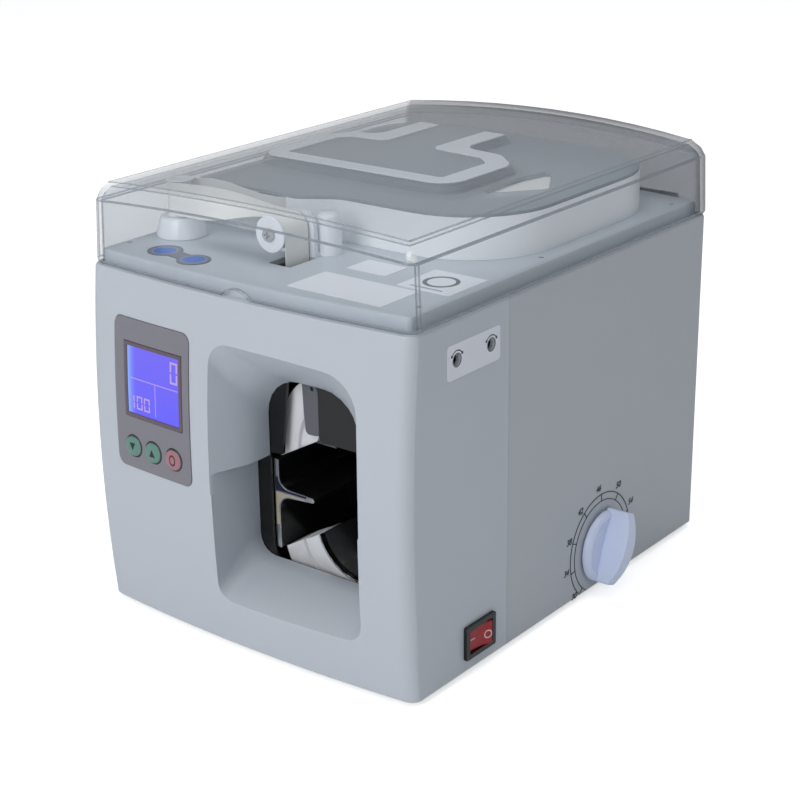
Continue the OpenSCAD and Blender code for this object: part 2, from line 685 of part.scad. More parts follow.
module side_label() {
  color([0.80, 0.80, 0.88]) place()
    xprism(hw, hw + 0.3) difference() {
      translate([-102.8, zs + 192.6]) rsquare(49, 20, 2.2);
      for (y = adj_y)
        translate([y, adj_z]) circle(adjust_d / 2);
    }
}
module adjuster(y) {
  difference() {
    xcyl(2.9, 109, hw - wall - 1.2, y, adj_z);
    translate([hw - wall - 2.6, y - 4, adj_z - 0.5]) cube([4, 8, 1]);
  }
}
module adjuster_front() {
  color([0.85, 0.85, 0.80]) place() adjuster(adj_y[0]);
}
module adjuster_rear() {
  color([0.85, 0.85, 0.80]) place() adjuster(adj_y[1]);
}
module adjuster_board() {
  color([0.12, 0.38, 0.22]) place() difference() {
    union() {
      box(103.3, 105, -128, -76, zs + 181, zs + 205);
      for (y = adj_y)
        box(105, 111, y - 5, y + 5, adj_z - 5.5, adj_z + 5.5);
      box(103, 103.3, -84, -78, zs + 183, zs + 203);
    }
    for (y = adj_y)
      xcyl(2.9 + run_fit, 106, 130, y, adj_z);
  }
}
module switch_body() {
  color([0.05, 0.05, 0.06]) place() difference() {
    union() {
      xprism(hw, hw + 2.2) translate([sw_y, sw_z]) rsquare(switch_l, switch_h, 1.2);
      box(107.5, hw, sw_y - switch_l / 2 + 2.3, sw_y + switch_l / 2 - 2.3,
        sw_z - switch_h / 2 + 2.3, sw_z + switch_h / 2 - 2.3);
      for (y = [-7, 0, 7])
        box(103.4, 107.5, sw_y + y - 0.4, sw_y + y + 0.4, sw_z - 3, sw_z + 3);
    }
    zcyl(1.5 + run_fit, sw_z - switch_h / 2 + 1, sw_z + switch_h / 2 - 1, hw - 3, sw_y);
    box(110, hw + 5, sw_y - switch_l / 2 + 3.4, sw_y + switch_l / 2 - 3.4,
      sw_z - switch_h / 2 + 3.2, sw_z + switch_h / 2 - 3.2);
  }
}
// Rocker about its pivot: x outward, y along the switch, front end pressed.
module switch_rocker() {
  l = switch_l / 2 - 3.6;
  color([0.62, 0.08, 0.10]) place() {
    translate([hw - 3, sw_y, sw_z]) linear_extrude(switch_h - 7, center = true)
      polygon(concat(arc([0, 0], 4, 120, 240, 6), arc([0, 0], l, 276, 288, 2),
        [[3.5, -l * 0.5], [4.0, 0], [5.2, l * 0.45]], arc([0, 0], l, 52, 84, 4)));
    // stub pins that it tips on
    zcyl(1.5, sw_z - switch_h / 2 + 2.4, sw_z + switch_h / 2 - 2.4, hw - 3, sw_y);
  }
}
module power_inlet() {
  color([0.06, 0.06, 0.07]) place() difference() {
    union() {
      yprism(hd + 1.2, hd + 3.4) translate([-70, zs + 30]) rsquare(48, 28, 3);
      box(-83.7, -56.3, hd - 16, hd + 2, zs + 20.3, zs + 39.7);
      for (x = [-77, -70, -63])
        box(x - 2.4, x + 2.4, hd - 24, hd - 16, zs + 28, zs + 29);
    }
    difference() {
      box(-82, -58, hd - 13, hd + 10, zs + 22.5, zs + 37.5);
      for (p = [[-77, 29], [-70, 32.5], [-63, 29]])
        box(p[0] - 1, p[0] + 1, hd - 14, hd - 1, zs + p[1] - 2, zs + p[1] + 2);
    }
    for (x = [-90, -50])
      ycyl(1.6, hd, hd + 10, x, zs + 30);
  }
}

// ---- reel deck ----
reel_shape = [[-110, -74, 4], [-30, -74, 14], [-8, -60, 14], [103, -60, 58], [103, 140, 60], [-110, 140, 36]];
function reel_inset(i) = [for (k = [0 : 5]) let (p = reel_shape[k]) [
  k == 0 || k == 5 ? p[0] + i : k < 3 ? p[0] - i * 0.35 : p[0] - i,
  k == 4 || k == 5 ? p[1] - i : p[1] + i, k == 1 ? p[2] - i : k == 2 ? p[2] + i : max(p[2] - i, 1)]];
module reel_prism(i, z0, z1) {
  translate([0, 0, z0]) linear_extrude(z1 - z0) polygon(fil(reel_inset(i), 10));
}
module reel_housing() {
  color([0.84, 0.86, 0.90]) place() difference() {
    union() {
      difference() {
        reel_prism(0, zd, zd + 25);
        reel_prism(2.5, zd + 2, zd + 30);
      }
      zcyl(8, zd + 1, zd + 24.2, roll_c[0], roll_c[1]);
      zcyl(14, zd + 1, zd + 2.3, roll_c[0], roll_c[1]);
    }
    // tape outlet in the front wall
    box(-60, -38, -80, -66, zd + 2, zd + 30);
    zcyl(1.4, zd + 12, zd + 30, roll_c[0], roll_c[1]);
  }
}
// Raised keyhole plateau of the lid: wide in front, neck to the rear.
band_o = [[-106, -22, 13], [44, -22, 17], [44, 44, 17], [24, 62, 17], [-8, 66, 12], [-8, 112, 1],
  [-79, 112, 1], [-79, 66, 12], [-96, 62, 10], [-106, 48, 12]];
band_i = [[-94, -8, 3], [28, -8, 3], [28, 38, 6], [16, 48, 6], [-25, 52, 8], [-25, 113, 0.5],
  [-62, 113, 0.5], [-62, 52, 8], [-88, 50, 5], [-94, 42, 5]];
function grow(P, c, g) = [for (p = P) [p[0] + (p[0] > c[0] ? g : -g), p[1] + (p[1] > c[1] ? g : -g),
  max(p[2] - 0.1, 0.4)]];
module reel_lid() {
  c = [-43, 20];
  color([0.55, 0.60, 0.64, 0.55]) place() difference() {
    union() {
      reel_prism(0.4, zd + 25, zd + 27);
      for (s = [[2.6, 27.6], [1.9, 29], [1.2, 30.4], [0.6, 31.7], [0, 32.4]])
        translate([0, 0, zd + 26.5]) linear_extrude(s[1] - 26.5) polygon(fil(grow(band_o, c, s[0])));
      difference() {
        reel_prism(2.9, zd + 22.5, zd + 25.5);
        reel_prism(5, zd + 20, zd + 30);
        box(-62, -36, -80, -60, zd + 2, zd + 26);
      }
    }
    translate([0, 0, zd + 24]) linear_extrude(6.2) polygon(fil(grow(band_o, c, -2.6)));
    translate([0, 0, zd]) linear_extrude(60)
      polygon(fil([[54, -8, 3], [82, 26, 4], [58, 66, 3], [52, 40, 2]]));
  }
}
module lid_band() {
  color([0.66, 0.70, 0.74]) place() translate([0, 0, zd + 32.4]) linear_extrude(0.7) difference() {
    polygon(fil(grow(band_o, [-43, 20], -0.8)));
    polygon(fil(band_i));
  }
}
module reel_hub() {
  color([0.82, 0.83, 0.86]) place() difference() {
    union() {
      zcyl(58, zd + 2.6, zd + 3.8, roll_c[0], roll_c[1]);
      zcyl(roll_bore / 2 - 0.15, zd + 3.8, zd + 23.6, roll_c[0], roll_c[1]);
    }
    difference() {
      zcyl(roll_bore / 2 - 2.4, zd + 5.4, zd + 30, roll_c[0], roll_c[1]);
      zcyl(11, zd, zd + 24, roll_c[0], roll_c[1]);
      for (a = [0, 60, 120])
        translate([roll_c[0], roll_c[1], zd + 12]) rotate(a) cube([roll_bore - 4, 2, 22], center = true);
    }
    zcyl(8 + run_fit, zd, zd + 30, roll_c[0], roll_c[1]);
    for (a = [0 : 60 : 300])
      zcyl(8, zd, zd + 10, roll_c[0] + 44 * cos(a), roll_c[1] + 44 * sin(a));
  }
}
module tape_roll() {
  color([0.93, 0.92, 0.89]) place() translate([roll_c[0], roll_c[1], zd + 3.8]) difference() {
    cylinder(d = roll_d, h = tape_w, $fn = 128);
    translate([0, 0, -1]) cylinder(d = roll_bore, h = tape_w + 2);
  }
}
module guide_post() {
  color([0.92, 0.93, 0.97]) place() translate([post[0], post[1], zd]) difference() {
    rotate_extrude() polygon([[0, 0], [15.4, 0], [15.4, 2], [13.6, 9], [12.6, 11.4], [12.6, 12.2],
      [4, 12.2], [4, tape_w + 14.2], [0, tape_w + 14.2]]);
    translate([0, 0, -1]) cylinder(r = 1.3, h = 20);
  }
}
module post_sleeve() {
  color([0.88, 0.89, 0.94]) place() translate([post[0], post[1], zd]) rotate_extrude()
    polygon([[4 + run_fit, 12.4], [8.4, 12.4], [8.4, 12.9], [7, 13.2], [7, tape_w + 13.6],
      [8.4, tape_w + 14], [8.4, tape_w + 14.5], [4 + run_fit, tape_w + 14.5]]);
}
module guide_bracket() {
  yb = strap_y + tape_w / 2 + 1.4;
  color([0.88, 0.90, 0.94]) place() difference() {
    union() {
      yprism(yb, yb + 3.4) polygon(fil([[-28, zd, 0], [3, zd, 0], [3, zd + 20, 6], [-2, guide_z + 10, 6],
        [-17, guide_z + 10, 6], [-28, zd + 12, 8]]));
      difference() {
        box(-28, 3, yb, yb + 14, zd, zd + 2.4);
        zcyl(1.5, zd - 1, zd + 4, -22, yb + 9);
      }
      ycyl(4.6, yb - 0.6, yb + 6, guide_x, guide_z);
      // rounded post that the clear cover can rest on
      translate([3.5, -84, zd]) rotate_extrude()
        polygon([[0, 0], [7.5, 0], [7.5, 20], [6.6, 23], [4.6, 24.6], [0, 25]]);
    }
    ycyl(2, yb - 2, yb + 10, guide_x, guide_z);
  }
}
module guide_roller() {
  y0 = strap_y - tape_w / 2 - 0.5;
  r = guide_d / 2;
  color([0.90, 0.91, 0.95]) place() difference() {
    union() {
      ycyl(r, y0, y0 + tape_w + 0.8, guide_x, guide_z);
      ycyl(r + 1.2, y0 - 1.4, y0, guide_x, guide_z);
    }
    ycyl(2 + run_fit, y0 - 10, y0 + 40, guide_x, guide_z);
  }
}
module roller_screw() {
  y0 = strap_y - tape_w / 2 - 2.1;
  color([0.72, 0.72, 0.74]) place() difference() {
    union() {
      ycyl(2, y0 - 0.2, strap_y + tape_w / 2 + 8, guide_x, guide_z);
      ycyl(3.7, y0 - 2.2, y0 - 0.1, guide_x, guide_z);
    }
    translate([guide_x, y0 - 2.2, guide_z]) {
      cube([4, 2, 0.9], center = true);
      cube([0.9, 2, 4], center = true);
    }
  }
}
// Tape as a ribbon through stations [centre, width direction, normal].
wrap_r = 7.25;
turn_r = guide_d / 2 + 0.25;
post_mid = zd + 13.4 + tape_w / 2;
out_pt = [-46.5, -72.6, zd + 14];
start_pt = [roll_c[0] - 2, roll_c[1] - roll_d / 2 - 0.4, zd + 13.8];
function lerp(a, b, t) = a + (b - a) * t;
tape_path = let (
  t1 = 118,
  p1 = [post[0] + wrap_r * cos(t1), post[1] + wrap_r * sin(t1), post_mid],
  p2 = [post[0] + wrap_r * cos(272), post[1] + wrap_r * sin(272), post_mid],
  p3 = [guide_x, strap_y, guide_z + turn_r],
  n0 = [-0.45, 0.89, 0]
) concat(
  [for (k = [0 : 2]) [lerp(start_pt, out_pt, k / 2), [0, 0, 1], n0]],
  [for (k = [1 : 5]) let (t = k / 6, u = min(1, 1.4 * t), e = u * u * (3 - 2 * u) - t)
    [lerp(out_pt, p1, t) + [0, 0, e * (post_mid - out_pt[2])], [0, 0, 1], n0]],
  [for (k = [0 : 10]) let (a = t1 + (272 - t1) * k / 10)
    [[post[0] + wrap_r * cos(a), post[1] + wrap_r * sin(a), post_mid], [0, 0, 1], [cos(a), sin(a), 0]]],
  [for (k = [1 : 11]) let (t = k / 12, s = 90 * t * t * (3 - 2 * t))
    [lerp(p2, p3, t), [0, sin(s), cos(s)], [0, -cos(s), sin(s)]]],
  [for (k = [0 : 8]) let (a = 90 - 90 * k / 8)
    [[guide_x + turn_r * cos(a), strap_y, guide_z + turn_r * sin(a)], [0, 1, 0], [cos(a), 0, sin(a)]]],
  [for (z = [zd, zs + 190, zs + 173.5]) [[guide_x + turn_r, strap_y, z], [0, 1, 0], [1, 0, 0]]]);
module tape_strip() {
  w = tape_w / 2;
  h = tape_t / 2;
  n = len(tape_path);
  pts = flat([for (s = tape_path) [s[0] - s[1] * w - s[2] * h, s[0] + s[1] * w - s[2] * h,
    s[0] + s[1] * w + s[2] * h, s[0] - s[1] * w + s[2] * h]]);
  color([0.95, 0.94, 0.91]) place() polyhedron(points = pts, convexity = 8, faces = concat(
    [[0, 1, 2, 3]],
    flat([for (k = [0 : n - 2]) flat([for (i = [0 : 3]) let (j = (i + 1) % 4)
      [[4 * k + i, 4 * k + 4 + i, 4 * k + 4 + j], [4 * k + i, 4 * k + 4 + j, 4 * k + j]]])]),
    [[4 * n - 1, 4 * n - 2, 4 * n - 3, 4 * n - 4]]));
}
module deck_pad() {
  color([0.45, 0.47, 0.52]) place() translate([0, 0, zd]) linear_extrude(0.5) {
    translate([-77.8, -136.2]) circle(10.5);
    translate([-50.4, -141]) circle(10);
    polygon([[-77, -142], [-50, -146], [-51, -136], [-78, -131]]);
  }
}
module deck_labels() {
  color([0.90, 0.90, 0.92]) place() translate([0, 0, zd]) linear_extrude(0.25) {
    translate([59, -131]) rsquare(66, 33, 1);
    translate([45, -92]) rsquare(28, 20, 1);
    translate([92, -93.5]) rsquare(36, 36, 1);
  }
}

// ---- mechanism ----
module mech_frame() {
  color([0.66, 0.67, 0.69]) place() difference() {
    union() {
      box(-76, 103, -97, 0, floor_z, floor_z + 3);
      box(-76, -73, -97, 0, floor_z, zs + 168);
      box(100, 103, -97, 0, floor_z, zs + 204);
      box(100, 103, 0, 52, floor_z, zs + 50);
      box(-73, 100, -97, -94, floor_z, zs + 209);
      box(-73, 100, -6, -3, floor_z, zs + 165);
    }
    // note window and tongue passage
    box(16, 87, -100, -90, zs + 38, zs + 145);
    box(-46, 24, -100, -90, zs + 46, zs + 110);
    // rear wall: window, motor shaft and rack openings
    box(-5, 78, -10, 0, zs + 50, zs + 130);
    ycyl(5, -10, 0, -30, zs + 140);
    box(86, 99.9, -10, 0, zs + 28, zs + 46);
    for (z = [zs + 57, zs + 114])
      xcyl(4, -90, 110, -38, z);
    xcyl(shaft_r + run_fit, 90, 110, knob_y, knob_z);
    for (x = [-8.5, 8.5])
      ycyl(2.5 + run_fit, -100, -90, x, zs + 187);
  }
}
module feed_bracket() {
  color([0.60, 0.61, 0.63]) place() difference() {
    union() {
      box(-24, 24, -123.2, -121.2, zs + 174, zs + 204);
      for (s = [-1, 1])
        box(s > 0 ? 21 : -24, s > 0 ? 24 : -21, -121.2, -97, zs + 191, zs + 204);
    }
    for (x = [-8.5, 8.5])
      ycyl(2.5 + run_fit, -130, -120, x, zs + 187);
  }
}
module feed_roller() {
  r = feed_d / 2;
  color([0.14, 0.14, 0.15]) place() {
    ycyl(r, -119.5, -98, 8.5, zs + 187);
    ycyl(2.5, -123, -90, 8.5, zs + 187);
  }
}
module idler_roller() {
  r = feed_d / 2;
  color([0.55, 0.56, 0.58]) place() {
    ycyl(r, -119.5, -98, -8.5, zs + 187);
    ycyl(2.5, -123, -92, -8.5, zs + 187);
  }
}
module feed_motor() {
  color([0.30, 0.31, 0.33]) place() difference() {
    union() {
      ycyl(13, -94, -84, 8.5, zs + 187);
      ycyl(12, -84, -58, 8.5, zs + 187);
      ycyl(4, -58, -55, 8.5, zs + 187);
    }
    ycyl(2.5 + run_fit, -95, -89.5, 8.5, zs + 187);
  }
}
module cutter_blade() {
  color([0.80, 0.80, 0.82]) place() {
    difference() {
      yprism(-118.8, -97.8) polygon([[2.2, zs + 168.6], [6, zs + 168], [31, zs + 168], [31, zs + 186],
        [27, zs + 186], [27, zs + 170], [2.2, zs + 170]]);
      box(26, 40, -112, -104, zs + 176, zs + 200);
    }
    xcyl(2.5, 31, 54, strap_y, zs + 173.5);
  }
}
module cutter_solenoid() {
  color([0.62, 0.58, 0.40]) place() difference() {
    union() {
      box(40, 74, -118, -97, zs + 167.4, zs + 190);
      xcyl(4.5, 74, 78, strap_y, zs + 173.5);
    }
    xcyl(2.5 + run_fit, 39, 56, strap_y, zs + 173.5);
  }
}
module heater_block() {
  color([0.78, 0.60, 0.42]) place() {
    box(-40, -14, -118, -101, zs + 112, zs + 132);
    box(-36, -18, -101, -97, zs + 118, zs + 128);
    for (x = [-34, -27, -20])
      ycyl(2, -119, -118, x, zs + 122);
  }
}
module main_board() {
  color([0.10, 0.36, 0.20]) place() {
    box(-112, -110.4, 0, 120, floor_z, zs + 128);
    box(-110.4, -104, 10, 34, zs + 90, zs + 116);
    box(-110.4, -106, 60, 84, zs + 80, zs + 104);
    box(-110.4, -104, 8, 14, zs + 40, zs + 76);
    for (y = [44, 60])
      xcyl(6, -110.4, -92, y, zs + 40);
    box(-110.4, -98, 92, 112, zs + 30, zs + 56);
  }
}
module transformer() {
  color([0.40, 0.30, 0.22]) place() {
    box(8, 66, 64, 124, floor_z, floor_z + 4);
    box(16, 58, 70, 118, floor_z + 4, floor_z + 42);
    box(22, 52, 62, 70, floor_z + 10, floor_z + 36);
    box(22, 52, 118, 126, floor_z + 10, floor_z + 36);
  }
}

front_shell();
rear_housing();
base_plate();
feet();
top_deck();
dust_cover();
hinge_pins();
panel_plate();
window_frame();
display_lens();
display_module();
panel_board();
key_down();
key_up();
key_clear();
slot_liner();
strap_track();
track_edge();
track_funnel();
track_shutter();
tongue();
tongue_face();
tongue_carriage();
guide_rods();
tongue_pinion();
tongue_motor();
note_stop();
knob();
knob_shaft();
dial_scale();
side_label();
adjuster_front();
adjuster_rear();
adjuster_board();
switch_body();
switch_rocker();
power_inlet();
reel_housing();
reel_lid();
lid_band();
reel_hub();
tape_roll();
guide_post();
post_sleeve();
guide_bracket();
guide_roller();
roller_screw();
tape_strip();
deck_pad();
deck_labels();
mech_frame();
feed_bracket();
feed_roller();
idler_roller();
feed_motor();
cutter_blade();
cutter_solenoid();
heater_block();
main_board();
transformer();
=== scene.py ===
# %% [markdown]
# A banknote strapping machine stands on a pale floor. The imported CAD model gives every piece
# its place, so this lesson dresses that model: it makes the finishes, rounds the edges that
# catch the light, models the strap track anew, and sets the camera and lamps of the product
# photograph.
# %% Load the CAD frame
import json
import math
import bmesh
import bpy
from mathutils import Matrix, Vector

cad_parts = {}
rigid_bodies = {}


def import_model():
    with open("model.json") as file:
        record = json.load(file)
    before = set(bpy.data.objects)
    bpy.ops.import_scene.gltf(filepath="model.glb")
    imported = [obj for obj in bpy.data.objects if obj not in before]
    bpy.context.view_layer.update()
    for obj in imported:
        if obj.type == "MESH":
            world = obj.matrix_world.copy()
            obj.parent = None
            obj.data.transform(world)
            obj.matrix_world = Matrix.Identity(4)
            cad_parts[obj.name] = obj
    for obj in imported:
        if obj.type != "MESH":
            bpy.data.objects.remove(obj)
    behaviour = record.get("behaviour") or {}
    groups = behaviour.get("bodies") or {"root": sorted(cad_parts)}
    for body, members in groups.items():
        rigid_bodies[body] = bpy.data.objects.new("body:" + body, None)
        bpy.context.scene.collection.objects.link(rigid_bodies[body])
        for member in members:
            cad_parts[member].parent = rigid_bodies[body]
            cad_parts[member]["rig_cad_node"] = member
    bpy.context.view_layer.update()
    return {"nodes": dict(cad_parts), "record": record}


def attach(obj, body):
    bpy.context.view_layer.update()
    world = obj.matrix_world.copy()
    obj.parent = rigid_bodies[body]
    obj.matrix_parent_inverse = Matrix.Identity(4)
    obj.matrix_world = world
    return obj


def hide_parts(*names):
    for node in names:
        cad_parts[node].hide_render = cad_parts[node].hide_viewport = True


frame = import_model()
nodes = frame["nodes"]
print("CAD nodes:", len(nodes))

# %% [markdown]
# Drawings of the machine are in millimetres from the middle of the body, with z up from the
# table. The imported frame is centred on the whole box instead, knob and hinges included, so one
# helper turns drawing millimetres into the frame's metres.
# %% Drawing millimetres to frame metres
OFFSET = Vector((-0.0105, 0.00025, 0.0))


def mm(x, y, z):
    return Vector((x / 1000, y / 1000, z / 1000)) + OFFSET


print("Body centre in the frame:", tuple(round(v, 4) for v in mm(0, 0, 0)))

# %% [markdown]
# The photograph's camera was solved from the corners of the body: it stands in front and to
# the right, looks down about twenty degrees and is rolled by less than one. Its three axes are
# worked out from those angles, because a matrix says them without any doubt about the order of
# turns. The lens is long, so the upright edges stay almost parallel.
# %% Camera of the product photograph
AZIMUTH, ELEVATION, ROLL = (math.radians(angle) for angle in (38.0713, 20.5884, -0.7005))
CAMERA_PLACE = Vector((0.65362, -0.86260, 0.51986))

look = Vector((-math.sin(AZIMUTH) * math.cos(ELEVATION),
               math.cos(AZIMUTH) * math.cos(ELEVATION), -math.sin(ELEVATION)))
side_way = look.cross(Vector((0, 0, 1))).normalized()
up_way = side_way.cross(look)
turned = side_way * math.cos(ROLL) + up_way * math.sin(ROLL)
upright = up_way * math.cos(ROLL) - side_way * math.sin(ROLL)

bpy.ops.object.select_all(action="DESELECT")
bpy.ops.object.camera_add()
camera = bpy.context.object
camera.name = "photo_camera"
camera_axes = Matrix((turned, upright, -look)).transposed()
camera.matrix_world = Matrix.Translation(CAMERA_PLACE) @ camera_axes.to_4x4()
camera.data.sensor_fit = "HORIZONTAL"
camera.data.sensor_width = 36
camera.data.lens = 82.18
camera.data.clip_start = 0.02
bpy.context.scene.camera = camera
print("Camera lens:", camera.data.lens, "mm")

# %% [markdown]
# Shader maths could be wired node by node, but it reads best as plain sums. A Value wraps a
# node's socket and overloads the operators, so 1 - mask adds a Math node. The comparisons give
# one where they hold and nought elsewhere, which is all that a printed mark needs.
# %% Sockets that take part in sums
class Value:
    def __init__(self, wiring, socket):
        self.wiring = wiring
        self.socket = socket

    def sum(self, operation, *terms):
        return self.wiring.node("ShaderNodeMath", {"operation": operation}, terms)

    def __add__(self, other):
        return self.sum("ADD", self, other)

    def __radd__(self, other):
        return self.sum("ADD", other, self)

    def __sub__(self, other):
        return self.sum("SUBTRACT", self, other)

    def __rsub__(self, other):
        return self.sum("SUBTRACT", other, self)

    def __mul__(self, other):
        return self.sum("MULTIPLY", self, other)

    def __rmul__(self, other):
        return self.sum("MULTIPLY", other, self)

    def __truediv__(self, other):
        return self.sum("DIVIDE", self, other)

    def __pow__(self, other):
        return self.sum("POWER", self, other)

    def above(self, limit):
        return self.sum("GREATER_THAN", self, limit)

    def below(self, limit):
        return self.sum("LESS_THAN", self, limit)

    def smallest(self, other):
        return self.sum("MINIMUM", self, other)

    def largest(self, other):
        return self.sum("MAXIMUM", self, other)

    def size(self):
        return self.sum("ABSOLUTE", self)


print("A value can be added, multiplied, compared and limited")

# %% [markdown]
# The finishes and the sky are both node trees. A Wiring adds nodes to one tree through a single
# method: the node's type, its settings, and the values or links of its sockets.
# %% Wiring for one node tree
class Wiring:
    def __init__(self, tree):
        self.tree = tree

    def node(self, kind, settings=None, inputs=(), output=0):
        new = self.tree.nodes.new(kind)
        for key, value in (settings or {}).items():
            setattr(new, key, value)
        pairs = inputs.items() if isinstance(inputs, dict) else enumerate(inputs)
        for key, value in pairs:
            self.feed(new.inputs[key], value)
        return Value(self, new.outputs[output])

    def feed(self, socket, value):
        if isinstance(value, Value):
            self.tree.links.new(value.socket, socket)
        else:
            socket.default_value = value


print("A wiring adds any node with one call")

# %% [markdown]
# A Finish is one material with its Principled shader. It keeps the colour painted so far, so
# that each printed mark goes over the last one, and it reads places on the piece from object
# coordinates, so that print and grain stay put in any view.
# %% A finish: one material with its nodes
MIX_FACTOR, MIX_FIRST, MIX_SECOND, MIX_COLOUR = 0, 6, 7, 2
GRAIN_HEIGHT = 0.0002


def linear(colour):
    """sRGB 0-255 to linear RGBA."""
    steps = [c / 255 for c in colour]
    return tuple(s / 12.92 if s < 0.04045 else ((s + 0.055) / 1.055) ** 2.4 for s in steps) + (1,)


class Finish(Wiring):
    def __init__(self, name, colour, roughness, metallic=0.0):
        self.material = bpy.data.materials.new(name)
        self.material.use_nodes = True
        super().__init__(self.material.node_tree)
        self.shader = self.tree.nodes["Principled BSDF"]
        self.output = self.tree.nodes["Material Output"]
        self.skin = linear(colour)
        self.place = None
        self.set("Base Color", self.skin)
        self.set("Roughness", roughness)
        self.set("Metallic", metallic)

    def set(self, name, value):
        self.feed(self.shader.inputs[name], value)

    def spot(self):
        if self.place is None:
            self.place = self.node("ShaderNodeTexCoord", output="Object")
        return self.place

    def drawing(self):
        """X, Y and Z in drawing millimetres."""
        split = self.node("ShaderNodeSeparateXYZ", inputs=[self.spot()]).socket.node
        axes = [Value(self, socket) for socket in split.outputs]
        return [axis * 1000 - shift * 1000 for axis, shift in zip(axes, OFFSET)]

    def noise(self, scale, detail):
        return self.node("ShaderNodeTexNoise", inputs={
            "Vector": self.spot(), "Scale": scale, "Detail": detail})

    def blend(self, factor, first, second):
        return self.node("ShaderNodeMix", {"data_type": "RGBA"}, {
            MIX_FACTOR: factor, MIX_FIRST: first, MIX_SECOND: second}, MIX_COLOUR)

    def paint(self, mask, colour):
        self.skin = self.blend(mask, self.skin, linear(colour))
        self.set("Base Color", self.skin)

    def bump(self, height, strength):
        self.set("Normal", self.node("ShaderNodeBump", inputs={
            "Strength": strength, "Distance": GRAIN_HEIGHT, "Height": height}))


print("Grain height:", GRAIN_HEIGHT * 1000, "mm")

# %% [markdown]
# Most of the machine is moulded plastic, painted sheet, plain metal or print, and none of it is
# one flat colour. An image could carry that, but noise needs no unwrapping and has no seams. One
# recipe makes them all: a broad, faint drift of tone, a fine grain in the bump and a roughness
# that wanders a little. Only colour, gloss, grain size and grain depth differ.
# %% The recipe for plastics, paints and metals
DRIFT_SCALE = 14
WANDER_SCALE, WANDER = 60, 0.28


def shade(colour, factor):
    return tuple(min(c * factor, 1) for c in colour[:3]) + (1,)


def plain(name, colour, roughness, metallic=0.0, drift=0.04, grain=900, depth=0.25):
    made = Finish(name, colour, roughness, metallic)
    darker, paler = shade(made.skin, 1 - drift), shade(made.skin, 1 + drift)
    made.skin = made.blend(made.noise(DRIFT_SCALE, 2.0), darker, paler)
    made.set("Base Color", made.skin)
    gloss_change = 1 - WANDER / 2 + WANDER * made.noise(WANDER_SCALE, 3.0)
    made.set("Roughness", roughness * gloss_change)
    made.bump(made.noise(grain, 2.0), depth)
    return made


RECIPES = {
    "shell_front": dict(colour=(191, 198, 207), roughness=0.40, drift=0.02, grain=1500, depth=0.1),
    "shell_rear": dict(colour=(184, 190, 198), roughness=0.46, drift=0.02, grain=1800),
    "base_metal": dict(colour=(150, 153, 156), roughness=0.45, metallic=0.6, grain=700),
    "foot_rubber": dict(colour=(26, 26, 28), roughness=0.75, grain=1200, depth=0.5),
    "deck": dict(colour=(196, 203, 210), roughness=0.40, drift=0.02, grain=1600, depth=0.2),
    "steel": dict(colour=(205, 205, 208), roughness=0.28, metallic=1.0, grain=1400, depth=0.1),
    "panel_grey": dict(colour=(128, 127, 137), roughness=0.38, grain=2200, depth=0.2),
    "frame_silver": dict(colour=(104, 90, 98), roughness=0.35, metallic=0.1, grain=1500, depth=0.1),
    "display_blue": dict(colour=(90, 84, 235), roughness=0.35),
    "board_green": dict(colour=(28, 92, 52), roughness=0.45, drift=0.1, grain=500),
    "key_green": dict(colour=(96, 140, 130), roughness=0.30, drift=0.06, depth=0.05),
    "key_pink": dict(colour=(166, 116, 126), roughness=0.30, drift=0.06, depth=0.05),
    "black_plastic": dict(colour=(16, 16, 18), roughness=0.22, drift=0.2, grain=800, depth=0.08),
    "track_white": dict(colour=(226, 228, 232), roughness=0.30, drift=0.02, depth=0.06),
    "edge_silver": dict(colour=(210, 211, 214), roughness=0.18, metallic=1.0, depth=0.04),
    "grey_plastic": dict(colour=(98, 100, 107), roughness=0.34, depth=0.1),
    "cast_grey": dict(colour=(150, 152, 155), roughness=0.42, metallic=0.8, drift=0.06, grain=500),
    "brass_gear": dict(colour=(196, 160, 88), roughness=0.30, metallic=1.0, drift=0.06),
    "motor_grey": dict(colour=(84, 86, 90), roughness=0.40, metallic=0.5),
    "dark_metal": dict(colour=(12, 12, 14), roughness=0.62),
    "knob_white": dict(colour=(212, 224, 250), roughness=0.24, drift=0.012, depth=0.03),
    "print_dark": dict(colour=(48, 48, 52), roughness=0.55, drift=0.1, depth=0.05),
    "label_pale": dict(colour=(226, 230, 242), roughness=0.30, drift=0.03, depth=0.04),
    "adjust_cream": dict(colour=(214, 214, 204), roughness=0.35),
    "rocker_red": dict(colour=(158, 22, 30), roughness=0.20, drift=0.06, depth=0.05),
    "tub_white": dict(colour=(250, 252, 255), roughness=0.30, drift=0.015, depth=0.05),
    "band_grey": dict(colour=(242, 246, 252), roughness=0.30, drift=0.03, depth=0.08),
    "hub_white": dict(colour=(214, 216, 222), roughness=0.40),
    "tape_paper": dict(colour=(240, 240, 238), roughness=0.55, drift=0.02, grain=300, depth=0.15),
    "post_white": dict(colour=(240, 243, 248), roughness=0.22, drift=0.015, depth=0.03),
    "pad_grey": dict(colour=(118, 122, 134), roughness=0.30, drift=0.05, depth=0.05),
    "label_white": dict(colour=(236, 238, 244), roughness=0.45, drift=0.02, grain=500, depth=0.1),
    "roller_rubber": dict(colour=(34, 34, 36), roughness=0.65, grain=1200, depth=0.4),
    "blade_steel": dict(colour=(212, 213, 216), roughness=0.22, metallic=1.0),
    "coil_yellow": dict(colour=(170, 160, 110), roughness=0.55, drift=0.1, grain=300),
    "heater_tan": dict(colour=(204, 168, 128), roughness=0.60, drift=0.1, grain=300),
    "core_brown": dict(colour=(98, 78, 62), roughness=0.50, drift=0.1, grain=200),
}
finishes = {name: plain(name, **recipe) for name, recipe in RECIPES.items()}
print("Finishes:", len(finishes))

